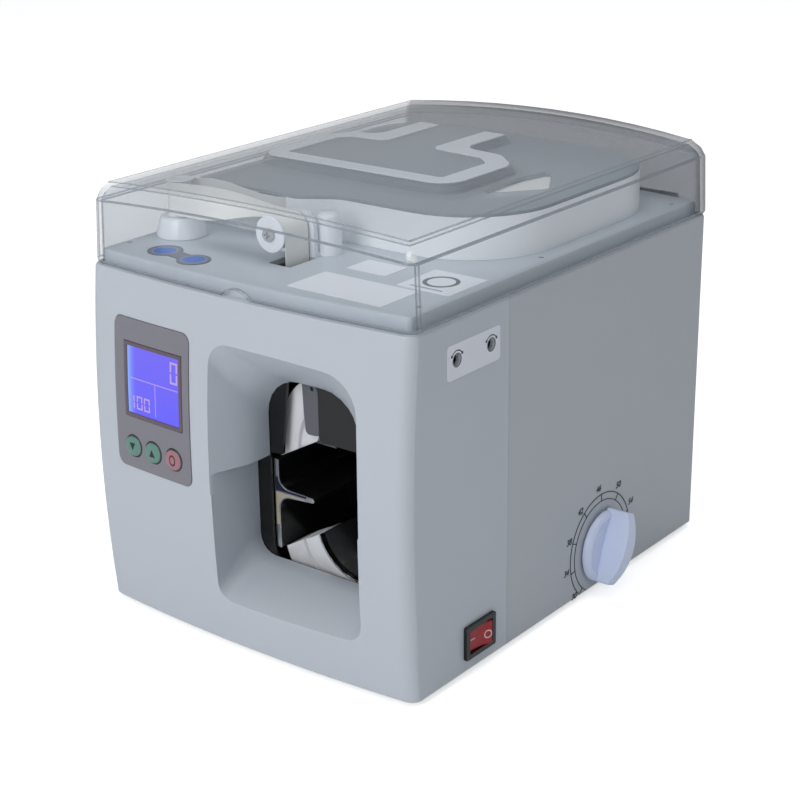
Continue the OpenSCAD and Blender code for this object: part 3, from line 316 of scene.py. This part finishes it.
# %% [markdown]
# The cover is clear acrylic, three millimetres thick. Seen straight on it all but disappears,
# and at a glancing angle it turns grey and mirrors the room. A mix of a see-through and a
# glossy shader, driven by the viewing angle, gives both without the dark, noisy shadows of a
# solid glass block. Its folds are a second finish, because a bent sheet shows its bends as
# crisp grey lines; that grey is painted, standing for the light that a real bend refracts. Its
# rear and left walls take more grey, a painted shade, and the front right corner keeps the
# small white glint of the photograph.
# %% Clear and smoked plastics
GLINT_PLACE, GLINT_RADIUS = (115.5, -151.5, 260.5), 3
GLINT_NARROW = (0.5, 2.2)
REAR_WALL, REAR_FADE, REAR_SHADE = 138, 8, 1.7
LEFT_WALL, LEFT_FADE = -110, 6
MOST_HAZE = 0.92


def see_through(name, tint, body, smoke_and_painted_grey, gloss, glance, far_shade=0.0, glint=0.0):
    made = Finish(name, body, gloss)
    made.set("Specular IOR Level", 0.6)
    clear = made.node("ShaderNodeBsdfTransparent", inputs={"Color": linear(tint)})
    facing = made.node("ShaderNodeLayerWeight", inputs={"Blend": 0.5}, output="Facing")
    haze = smoke_and_painted_grey + glance * facing ** 4
    x, y, z = made.drawing()
    if glint:
        u, v, w = (axis - at for axis, at in zip((x, y, z), GLINT_PLACE))
        spread = u * u * GLINT_NARROW[0] + v * v * GLINT_NARROW[1] + w * w
        spark = spread.below(GLINT_RADIUS ** 2)
        haze = haze + glint * spark
        made.paint(spark, (255, 255, 255))
    # The rear and left walls get a painted grey shade: more haze on both, and a darker colour
    # towards the rear.
    if far_shade:
        rear = (y - REAR_WALL) / REAR_FADE
        left = (LEFT_WALL - x) / LEFT_FADE
        rear_shade = (rear * REAR_SHADE).smallest(REAR_SHADE)
        haze = haze + far_shade * rear_shade.largest(left.smallest(1)).largest(0)
        made.paint(rear.largest(0).smallest(1), (98, 99, 110))
    glossy = Value(made, made.shader.outputs[0])
    mix = made.node("ShaderNodeMixShader", inputs=[haze.smallest(MOST_HAZE), clear, glossy])
    made.feed(made.output.inputs["Surface"], mix)
    return made


finishes["clear_cover"] = see_through(
    "clear_cover", (252, 253, 254), (166, 170, 176),
    smoke_and_painted_grey=0.016, gloss=0.05, glance=0.6, far_shade=0.32, glint=0.35)
# The folds' grey body and heavy haze are painted: they stand for the light that a bent sheet
# refracts.
finishes["cover_fold"] = see_through(
    "cover_fold", (222, 226, 232), (158, 163, 170),
    smoke_and_painted_grey=0.55, gloss=0.06, glance=0.3, glint=0.4)
finishes["lid_smoke"] = see_through(
    "lid_smoke", (232, 236, 238), (200, 208, 214), smoke_and_painted_grey=0.42, gloss=0.10, glance=0.4)
print("See-through finishes: cover, its folds and the reel lid")

# %% [markdown]
# Printed marks could be pictures laid over the pieces. Here the finish paints them itself: a
# mask is a sum over the piece's own drawing coordinates that is one inside the mark and nought
# outside it, so the print stays sharp and follows any curve of the moulding below. Only plain
# numbers, arrows and switch marks are printed.
# %% Masks: bars, discs, rings, arrow heads and noughts
def bar(a, b, middle, size):
    return (a - middle[0]).size().below(size[0] / 2) * (b - middle[1]).size().below(size[1] / 2)


def disc(a, b, middle, radius, stretch=1.0):
    u, v = a - middle[0], (b - middle[1]) * stretch
    return (u * u + v * v).below(radius * radius)


def ring(a, b, middle, outer, inner, stretch=1.0):
    return disc(a, b, middle, outer, stretch) - disc(a, b, middle, inner, stretch)


def arrow_head(a, b, middle, size, way):
    tip = (b - middle[1]) * way
    return (a - middle[0]).size().below(0.5 * (size / 2 - tip)) * tip.above(-size / 2)


def zero(a, b, middle, size, line):
    """A seven-segment nought: a frame with a gap half way up."""
    inner = (size[0] - 2 * line, size[1] - 2 * line)
    gap = (size[0], line * 0.8)
    return (bar(a, b, middle, size) - bar(a, b, middle, inner)
            - bar(a, b, middle, gap) * (1 - bar(a, b, middle, inner)))


print("Masks: bar, disc, ring, arrow_head and zero")

# %% [markdown]
# The display is a backlit liquid crystal: the whole window glows blue-violet, brighter near the
# lamp at its left edge, with pale digits and two dividing lines. It is one dark sheet whose
# emission colour carries the picture, so that it glows evenly in any room light.
# %% Display picture
WINDOW_FOOT, WINDOW_HEIGHT = 136, 40
LAMP_EDGE, LAMP_REACH = -77.5, 9
SMALL_DIGIT = (5.0, 8.3)
STROKE = (1.0, 3.6)

lcd = Finish("display_glow", (20, 20, 40), 0.25)
x, y, z = lcd.drawing()
rise = ((z - WINDOW_FOOT) / WINDOW_HEIGHT).smallest(1)
glow = ((LAMP_EDGE - x) / LAMP_REACH).largest(0).smallest(1)
picture = lcd.blend(rise, linear((98, 92, 250)), linear((112, 100, 246)))
picture = lcd.blend(glow * glow, picture, linear((150, 196, 255)))
digits = zero(x, z, (-45.8, 167.2), (6.2, 13.2), 1.3)
for middle in ((-75.6, 142.5), (-69.2, 142.5)):
    digits = digits + zero(x, z, middle, SMALL_DIGIT, 1.0)
for middle in ((-80.6, 144.5), (-80.6, 140.3)):
    digits = digits + bar(x, z, middle, STROKE)
lines = bar(x, z, (-62.7, 157.0), (40.6, 0.7)) + bar(x, z, (-61.8, 147.0), (0.7, 19.6))
picture = lcd.blend(digits.smallest(1), picture, linear((186, 160, 226)))
picture = lcd.blend(lines.smallest(1) * 0.75, picture, linear((186, 160, 236)))
lcd.set("Emission Color", picture)
lcd.set("Emission Strength", 0.95)
finishes["lens_blue"] = lcd
print("Display: one large digit, a row of small ones and two lines")

# %% [markdown]
# The three keys are domes with a dark rim. Arrows mark the two that step a value down and up,
# and a small ring marks the one that clears it. The power rocker carries the usual bar and ring
# on its outer face alone. All are printed, so they are painted rather than modelled.
# %% Keys and power rocker
DOWN_KEY, UP_KEY, CLEAR_KEY = (-82.0, 114.2), (-64.8, 114.2), (-47.3, 114.2)
KEY_RIM = (7.2, 6.1)

green = finishes["key_green"]
x, y, z = green.drawing()
for middle, way in ((DOWN_KEY, -1), (UP_KEY, 1)):
    green.paint(arrow_head(x, z, middle, 4.8, way), (22, 26, 28))
    green.paint(ring(x, z, middle, *KEY_RIM), (66, 74, 76))

pink = finishes["key_pink"]
x, y, z = pink.drawing()
pink.paint(ring(x, z, CLEAR_KEY, *KEY_RIM), (66, 74, 76))
pink.paint(ring(x, z, CLEAR_KEY, 2.5, 1.7, 0.72), (44, 26, 32))

rocker = finishes["rocker_red"]
x, y, z = rocker.drawing()
outer_face = x.above(119.5)
rocker.paint(bar(y, z, (-103.9, 22.2), (4.2, 0.7)) * outer_face, (222, 190, 196))
rocker.paint(ring(y, z, (-91.6, 21.2), 2.7, 1.9) * outer_face, (222, 190, 196))
print("Printed: three keys and the rocker")

# %% [markdown]
# The pale label on the side has an arc with two end dots and a ring round each adjuster hole.
# The pad on the deck has two blue discs with a pale edge, which the camera sees as ovals, and
# the paper label has a ring over a bar.
# %% Side label, deck pad and deck label
label = finishes["label_pale"]
x, y, z = label.drawing()
for y_hole, z_hole in ((-118.6, 196.2), (-86.8, 196.2)):
    upper_part = (z - z_hole).above(3.2)
    label.paint(ring(y, z, (y_hole, z_hole), 5.8, 5.1) * upper_part, (40, 42, 50))
    for side in (-4.7, 4.7):
        label.paint(disc(y, z, (y_hole + side, z_hole + 3.0), 0.9), (40, 42, 50))
    label.paint(ring(y, z, (y_hole, z_hole), 4.1, 3.4), (92, 98, 112))

pad = finishes["pad_grey"]
x, y, z = pad.drawing()
for middle in ((-77.2, -137.0), (-50.4, -141.0)):
    pad.paint(disc(x, y, middle, 7.9), (150, 158, 176))
    pad.paint(disc(x, y, middle, 6.9), (76, 116, 200))

sheet = finishes["label_white"]
x, y, z = sheet.drawing()
sheet.paint(ring(x, y, (91.0, -93.0), 10.5, 8.0), (112, 122, 122))
sheet.paint(bar(x, y, (91.0, -107.0), (22, 1.4)), (140, 148, 148))
print("Printed: side label, deck pad and deck label")

# %% [markdown]
# The bright end face of the tongue mirrors the dark slot above it and the pale shelf below, so
# its upper half looks navy and its lower half beige, with bright metal left at the fillets and
# the middle line. The mirror image would need the whole room, so the two tones are painted, and
# the metal is dulled where they lie.
# %% Tongue end face
UPPER_FILLET = ((0, 98.3), 7.746)
LOWER_FILLET = ((2, 77), 9.798)

bright = finishes["edge_silver"]
x, y, z = bright.drawing()
end_face = y.below(-123.0) * x.above(-9.7)
upper_web = (1 - disc(x, z, *UPPER_FILLET)) * x.below(0) * z.below(98)
upper_web = upper_web + x.above(0) * x.below(14) * z.below(90.4)
upper_web = upper_web * z.above(89.1) * end_face
lower_web = (1 - disc(x, z, *LOWER_FILLET)) * x.below(2) * z.above(67)
lower_web = lower_web + x.above(2) * x.below(13) * z.above(87.1)
lower_web = lower_web * z.below(88.3) * end_face
bright.paint(upper_web, (30, 34, 58))
bright.paint(lower_web, (186, 176, 160))
bright.set("Metallic", 1 - 0.8 * (upper_web + lower_web).smallest(1))
print("Painted: the two halves of the tongue's end face")

# %% [markdown]
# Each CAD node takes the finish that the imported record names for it, so nothing is left with
# the viewer's default grey.
# %% Dress every CAD node
slot_of = {part["node"]: part["material_slot"] for part in frame["record"]["subparts"]}
for name, node in nodes.items():
    node.data.materials.clear()
    node.data.materials.append(finishes[slot_of[name]].material)
print("Dressed:", len(slot_of))

# %% [markdown]
# Every finished piece is closed off in the same way: its place goes into its mesh, it gets its
# finish and smooth faces, it rides on its body of the mechanism, and the CAD node it stands for
# is hidden.
# %% Helpers: start clean and settle a piece
body_of = {name: body for body, members in frame["record"]["behaviour"]["bodies"].items()
           for name in members}


def fresh():
    if bpy.context.object and bpy.context.object.mode != "OBJECT":
        bpy.ops.object.mode_set(mode="OBJECT")
    bpy.ops.object.select_all(action="DESELECT")


def pick(piece):
    fresh()
    piece.select_set(True)
    bpy.context.view_layer.objects.active = piece


def settle(name, finish, body, stands_for=(), angle=32):
    piece = bpy.context.object
    piece.name = piece.data.name = name
    bpy.ops.object.transform_apply(location=True, rotation=True, scale=True)
    if finish:
        piece.data.materials.clear()
        piece.data.materials.append(finishes[finish].material)
    bpy.ops.object.shade_smooth_by_angle(angle=math.radians(angle))
    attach(piece, body)
    if stands_for:
        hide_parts(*stands_for)
    return piece


print("Bodies of the mechanism:", len(set(body_of.values())))

# %% [markdown]
# Moulded, cut and turned pieces all have a small radius where faces meet, and that radius is
# what catches the light. A copy of a CAD piece is merged from loose triangles into clean faces,
# a bevel of the real radius is applied to its sharp edges, and its normals are evened, so that
# large faces shade flat; the copy then stands for the node. A piece may spare some edges, which
# then keep their drawn shape.
# %% Helper: soften a CAD piece
MERGE = 0.00001
FLAT = 0.4


def round_edges(piece, radius, segments, angle):
    bevel = piece.modifiers.new("edge_radius", "BEVEL")
    bevel.width = radius / 1000
    bevel.segments = segments
    bevel.limit_method = "ANGLE"
    bevel.angle_limit = math.radians(angle)
    bevel.harden_normals = True
    return bevel


def bevel_weights(piece, angle, spare):
    """Marks the sharp edges for the bevel, but not those that spare(y, z) names in millimetres."""
    bpy.ops.mesh.select_all(action="DESELECT")
    bpy.ops.mesh.select_mode(type="EDGE")
    bpy.ops.mesh.edges_select_sharp(sharpness=math.radians(angle))
    mesh = bmesh.from_edit_mesh(piece.data)
    for edge in mesh.edges:
        middle = ((edge.verts[0].co + edge.verts[1].co) / 2 - OFFSET) * 1000
        if edge.select and spare(middle.y, middle.z):
            edge.select_set(False)
    bmesh.update_edit_mesh(piece.data)
    bpy.ops.transform.edge_bevelweight(value=1)


def soften(node, radius, segments=2, angle=34, fold=None, spare=None, crease=None):
    pick(nodes[node])
    bpy.ops.object.duplicate()
    piece = bpy.context.object
    piece.parent = None
    del piece["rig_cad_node"]
    bpy.ops.object.mode_set(mode="EDIT")
    bpy.ops.mesh.select_all(action="SELECT")
    bpy.ops.mesh.remove_doubles(threshold=MERGE)
    bpy.ops.mesh.dissolve_limited(angle_limit=math.radians(FLAT))
    if spare:
        bevel_weights(piece, angle, spare)
    bpy.ops.object.mode_set(mode="OBJECT")
    bevel = round_edges(piece, radius, segments, angle)
    if spare:
        bevel.limit_method = "WEIGHT"
        bevel.use_clamp_overlap = False
    piece.data.materials.clear()
    piece.data.materials.append(finishes[slot_of[node]].material)
    if fold:
        piece.data.materials.append(finishes[fold].material)
        bevel.material = 1
    bpy.ops.object.modifier_apply(modifier="edge_radius")
    settle(node + "_soft", None, body_of[node], [node], crease or angle)
    even = piece.modifiers.new("even_light", "WEIGHTED_NORMAL")
    even.keep_sharp = True
    bpy.ops.object.modifier_apply(modifier="even_light")
    print(piece.name, len(piece.data.polygons), "faces")


print("Merged within", MERGE * 1000, "mm and flat within", FLAT, "degrees")

# %% [markdown]
# Most pieces only need their edges broken: tenths of a millimetre on turned and cut metal,
# about half a millimetre on plastic. The radii come from how each piece is made.
# %% Edge radii
EDGE = {
    "rear_housing": 0.6, "top_deck": 0.8, "panel_plate": 0.25, "window_frame": 0.4,
    "slot_liner": 0.4, "track_shutter": 0.4, "tongue": 0.2, "tongue_face": 0.15,
    "switch_body": 0.35, "switch_rocker": 0.5, "reel_housing": 0.8, "lid_band": 0.25,
    "guide_post": 0.5, "post_sleeve": 0.3, "guide_bracket": 0.6, "guide_roller": 0.5,
    "roller_screw": 0.2, "key_down": 0.15, "key_up": 0.15, "key_clear": 0.15,
    "side_label": 0.08, "power_inlet": 0.3, "feet": 0.4, "reel_lid": 0.5,
}
for node, radius in EDGE.items():
    soften(node, radius)

# %% [markdown]
# Four pieces take a third step in the bevel and their own limit of what counts as sharp: the
# bowed front shell, the thin tape, the knob, and the cover, whose shallow folds are bevelled
# too and take the fold's finish. The cover's eyes fit close on the hinge pins, so the edges
# there are spared.
# %% Finer edges
def hinge_end(y, z):
    return y > 149 and z < 245


FINER = {
    "front_shell": dict(radius=1.2, angle=44, crease=22),
    "tape_strip": dict(radius=0.04, angle=62),
    "knob": dict(radius=0.5, angle=30),
    "dust_cover": dict(radius=0.7, angle=20, fold="cover_fold", spare=hinge_end),
}
for node, how in FINER.items():
    soften(node, segments=3, **how)

# %% [markdown]
# The steel pins sit in bores of the clear cover. The drawn pin is as thick as its bore, and a
# real one is a little thinner, so that the cover can turn on it.
# %% Hinge pins a little thinner than their bores
HINGE_AXIS = mm(0, 165, 221)
PIN_FIT = 0.97

soften("hinge_pins", 0.2)
bpy.ops.object.mode_set(mode="EDIT")
bpy.ops.mesh.select_all(action="SELECT")
bpy.ops.transform.resize(value=(1, PIN_FIT, PIN_FIT), center_override=HINGE_AXIS)
bpy.ops.object.mode_set(mode="OBJECT")
print("Pins at", PIN_FIT, "of their drawn thickness")

# %% [markdown]
# Behind the slot the strap runs round the notes in a moulded track: a white ring with the groove
# that guides the tape, a bright wire rim round its mouth, and a black funnel that tapers inward
# and makes the mouth of the track dark. All have the same rounded outline, so each starts as a
# plane with rounded corners, extruded to its depth, and is carved with others of its kind.
# %% Helpers for the strap track
CORNER_STEPS = 14


def rounded_plate(outline, front, back):
    """A plate across the slot with rounded corners, left in edit mode with its back selected."""
    x, z, radius = outline
    fresh()
    bpy.ops.mesh.primitive_plane_add(size=1)
    bpy.ops.object.mode_set(mode="EDIT")
    bpy.ops.mesh.select_all(action="SELECT")
    bpy.ops.transform.resize(value=((x[1] - x[0]) / 1000, (z[1] - z[0]) / 1000, 1))
    bpy.ops.mesh.bevel(offset=radius / 1000, segments=CORNER_STEPS, affect="VERTICES")
    bpy.ops.mesh.select_all(action="SELECT")
    bpy.ops.transform.rotate(value=math.radians(90), orient_axis="X", center_override=(0, 0, 0))
    bpy.ops.transform.translate(value=mm(sum(x) / 2, front, sum(z) / 2))
    bpy.ops.mesh.extrude_region_move(
        TRANSFORM_OT_translate={"value": (0, (back - front) / 1000, 0)})
    return bpy.context.object


def carve(piece, tool):
    """Closes the tool, which is still in edit mode, and cuts it out of the piece."""
    bpy.ops.mesh.select_all(action="SELECT")
    bpy.ops.mesh.normals_make_consistent(inside=False)
    bpy.ops.object.mode_set(mode="OBJECT")
    cut = piece.modifiers.new("carve", "BOOLEAN")
    cut.operation = "DIFFERENCE"
    cut.solver = "EXACT"
    cut.object = tool
    bpy.context.view_layer.objects.active = piece
    bpy.ops.object.modifier_apply(modifier="carve")
    bpy.data.objects.remove(tool)


print("Steps round each corner:", CORNER_STEPS)

# %% [markdown]
# Four shapes are carved out of the track: the bores of the ring and of the rim, the groove of
# the ring, whose wall is a thin loop, and the mouth of the funnel, which narrows to its throat.
# A slanting gap on the left goes through all three pieces and lets the tongue slide out of the
# strap. Each outline is its width, its height and the radius of its corners.
# %% Shapes carved out of the track
RING = ((-8, 106), (20, 169), 44)
MOUTH = ((17.5, 85), (43, 146), 33)
BORE = ((18.5, 84), (44, 145), 32)
GROOVE_OUTSIDE = ((5.4, 92.6), (33.4, 155.6), 36.6)
GROOVE_INSIDE = ((7.8, 90.2), (35.8, 153.2), 34.2)
THROAT = (54.5, 88)
GAP_HEIGHT, GAP_DEPTH = 59.2, 50
GAP_START, GAP_RUN = (-20, -110, 74.0), (64, 0, 35.2)


def ring_bore():
    return rounded_plate(MOUTH, -121, -95)


def rim_bore():
    return rounded_plate(BORE, -120, -114)


def groove():
    wall = rounded_plate(GROOVE_OUTSIDE, -120, -98.4)
    carve(wall, rounded_plate(GROOVE_INSIDE, -121, -97.6))
    pick(wall)
    bpy.ops.object.mode_set(mode="EDIT")
    return wall


def funnel_mouth():
    x, z, radius = BORE
    mouth = rounded_plate(BORE, -114.9, -93)
    bpy.ops.transform.resize(value=(THROAT[0] / (x[1] - x[0]), 1, THROAT[1] / (z[1] - z[0])),
                             center_override=mm(sum(x) / 2, -93, sum(z) / 2))
    bpy.ops.transform.translate(value=(0.0025, 0, 0.0015))
    return mouth


def tongue_gap():
    """A slab that rises to the right, as wide as the tongue is high."""
    fresh()
    bpy.ops.mesh.primitive_plane_add(size=1)
    bpy.ops.object.mode_set(mode="EDIT")
    bpy.ops.mesh.select_all(action="SELECT")
    bpy.ops.transform.resize(value=(GAP_HEIGHT / 1000, GAP_DEPTH / 1000, 1))
    bpy.ops.transform.rotate(value=math.radians(90), orient_axis="Y", center_override=(0, 0, 0))
    bpy.ops.transform.translate(value=mm(*GAP_START))
    bpy.ops.mesh.extrude_region_move(
        TRANSFORM_OT_translate={"value": tuple(step / 1000 for step in GAP_RUN)})
    return bpy.context.object


print("Funnel throat:", THROAT[0], "by", THROAT[1], "mm")

# %% [markdown]
# The ring, the rim and the funnel are then the same work three times: a plate is made, its
# hollows and the gap are carved out, and its edges are rounded.
# %% Strap track, rim and funnel
TRACK = (
    ("track_ring", RING, (-119, -97), "track_white", "strap_track", 0.3, (ring_bore, groove)),
    ("track_rim", MOUTH, (-119, -115), "edge_silver", "track_edge", 0.2, (rim_bore,)),
    ("track_cone", MOUTH, (-114.7, -94.2), "black_plastic", "track_funnel", 0.5, (funnel_mouth,)),
)
for name, outline, depth, finish, node, radius, hollows in TRACK:
    piece = rounded_plate(outline, *depth)
    bpy.ops.object.mode_set(mode="OBJECT")
    for hollow in (*hollows, tongue_gap):
        carve(piece, hollow())
    pick(piece)
    round_edges(piece, radius, segments=2, angle=40)
    bpy.ops.object.modifier_apply(modifier="edge_radius")
    settle(name, finish, "machine", [node], 40)
    print(name, len(piece.data.polygons), "faces")

# %% [markdown]
# The numbers of the strap position scale run from 30 to 58 round the knob, in steps of four
# for each tick. They are set as text in the plane of the side wall, a print about a tenth of a
# millimetre thick, and made into mesh before they are put in place.
# %% Numbers round the knob
KNOB_AXIS = (33.7, 30.1)
SIDE_WALL = 120.12
NUMBER_ANGLES = (220, 188, 158, 128, 95.5, 60, 26, -7)
FIRST_REACH, REACH = 38.4, 39.2

prints = []
for step, angle in enumerate(NUMBER_ANGLES):
    around = math.radians(angle)
    reach = REACH if step else FIRST_REACH
    fresh()
    bpy.ops.object.text_add()
    number = bpy.context.object
    number.data.body = str(30 + 4 * step)
    number.data.size = 0.0056
    number.data.offset = 0.00012
    number.data.extrude = 0.00006
    number.data.shear = 0.25
    number.data.align_x = "CENTER"
    number.data.align_y = "CENTER"
    bpy.ops.object.convert(target="MESH")
    number.rotation_euler = (math.radians(90), 0, math.radians(90))
    number.location = mm(SIDE_WALL, KNOB_AXIS[0] + reach * math.cos(around),
                         KNOB_AXIS[1] + reach * math.sin(around))
    bpy.ops.object.transform_apply(location=True, rotation=True, scale=True)
    prints.append(number)
fresh()
for number in prints:
    number.select_set(True)
bpy.context.view_layer.objects.active = prints[0]
bpy.ops.object.join()
numbers = settle("dial_numbers", "print_dark", "machine", angle=30)
print("Numbers:", len(numbers.data.polygons), "faces")

# %% [markdown]
# The machine stands on a white floor in front of a white wall. The floor glows a little for the
# camera alone, so that it looks white without throwing more light on the machine, and it keeps
# the machine's shadow.
# %% Floor
FLOOR_GLOW = 0.62

floor_finish = Finish("studio_white", (240, 241, 243), 0.9)
camera_ray = floor_finish.node("ShaderNodeLightPath", output="Is Camera Ray")
floor_finish.set("Emission Color", (1, 1, 1, 1))
floor_finish.set("Emission Strength", FLOOR_GLOW * camera_ray)
fresh()
bpy.ops.mesh.primitive_plane_add(size=12, location=(0, 0, 0))
floor = bpy.context.object
floor.name = "studio_floor"
floor.data.materials.append(floor_finish.material)
print("Floor glow:", FLOOR_GLOW)

# %% [markdown]
# The wall is the world itself: white where the camera sees it, also through clear plastic,
# and a dim, even room light for everything else.
# %% Backdrop and room light
ROOM_LIGHT = 0.34

world = bpy.data.worlds.new("studio_world")
bpy.context.scene.world = world
world.use_nodes = True
sky = Wiring(world.node_tree)
background = sky.tree.nodes["Background"]
camera_ray = sky.node("ShaderNodeLightPath", output="Is Camera Ray")
through_plastic = Value(sky, camera_ray.socket.node.outputs["Is Transmission Ray"])
strength = sky.node("ShaderNodeMapRange", inputs={
    "Value": camera_ray.largest(through_plastic), "To Min": ROOM_LIGHT, "To Max": 1.0})
sky.feed(background.inputs["Strength"], strength)
sky.feed(background.inputs["Color"], (0.99, 1, 1, 1))
print("Room light:", ROOM_LIGHT)

# %% [markdown]
# One large lamp in front makes the bowed front the brightest face, a second above lights the
# deck and throws a soft shadow, and a weak one on the left fills in. Nothing shines from the
# right, so that side falls into shade, as in the photograph.
# %% Lamps
def lamp(name, place, aim, size, power):
    bpy.ops.object.light_add(type="AREA", location=place)
    made = bpy.context.object
    made.name = name
    made.data.shape = "RECTANGLE"
    made.data.size, made.data.size_y = size
    made.data.energy = power
    made.rotation_euler = (Vector(aim) - Vector(place)).to_track_quat("-Z", "Y").to_euler()
    print(name, power, "W")


lamp("key_softbox", (0.1, -2.2, 1.2), (0, -0.1, 0.13), (1.4, 1.2), 23)
lamp("top_softbox", (0.1, 0.0, 2.2), (0, 0, 0.15), (1.6, 1.6), 14)
lamp("fill_softbox", (-2.0, -1.2, 0.8), (0, -0.1, 0.13), (1.0, 1.2), 2)
bpy.context.scene.view_settings.view_transform = "Standard"
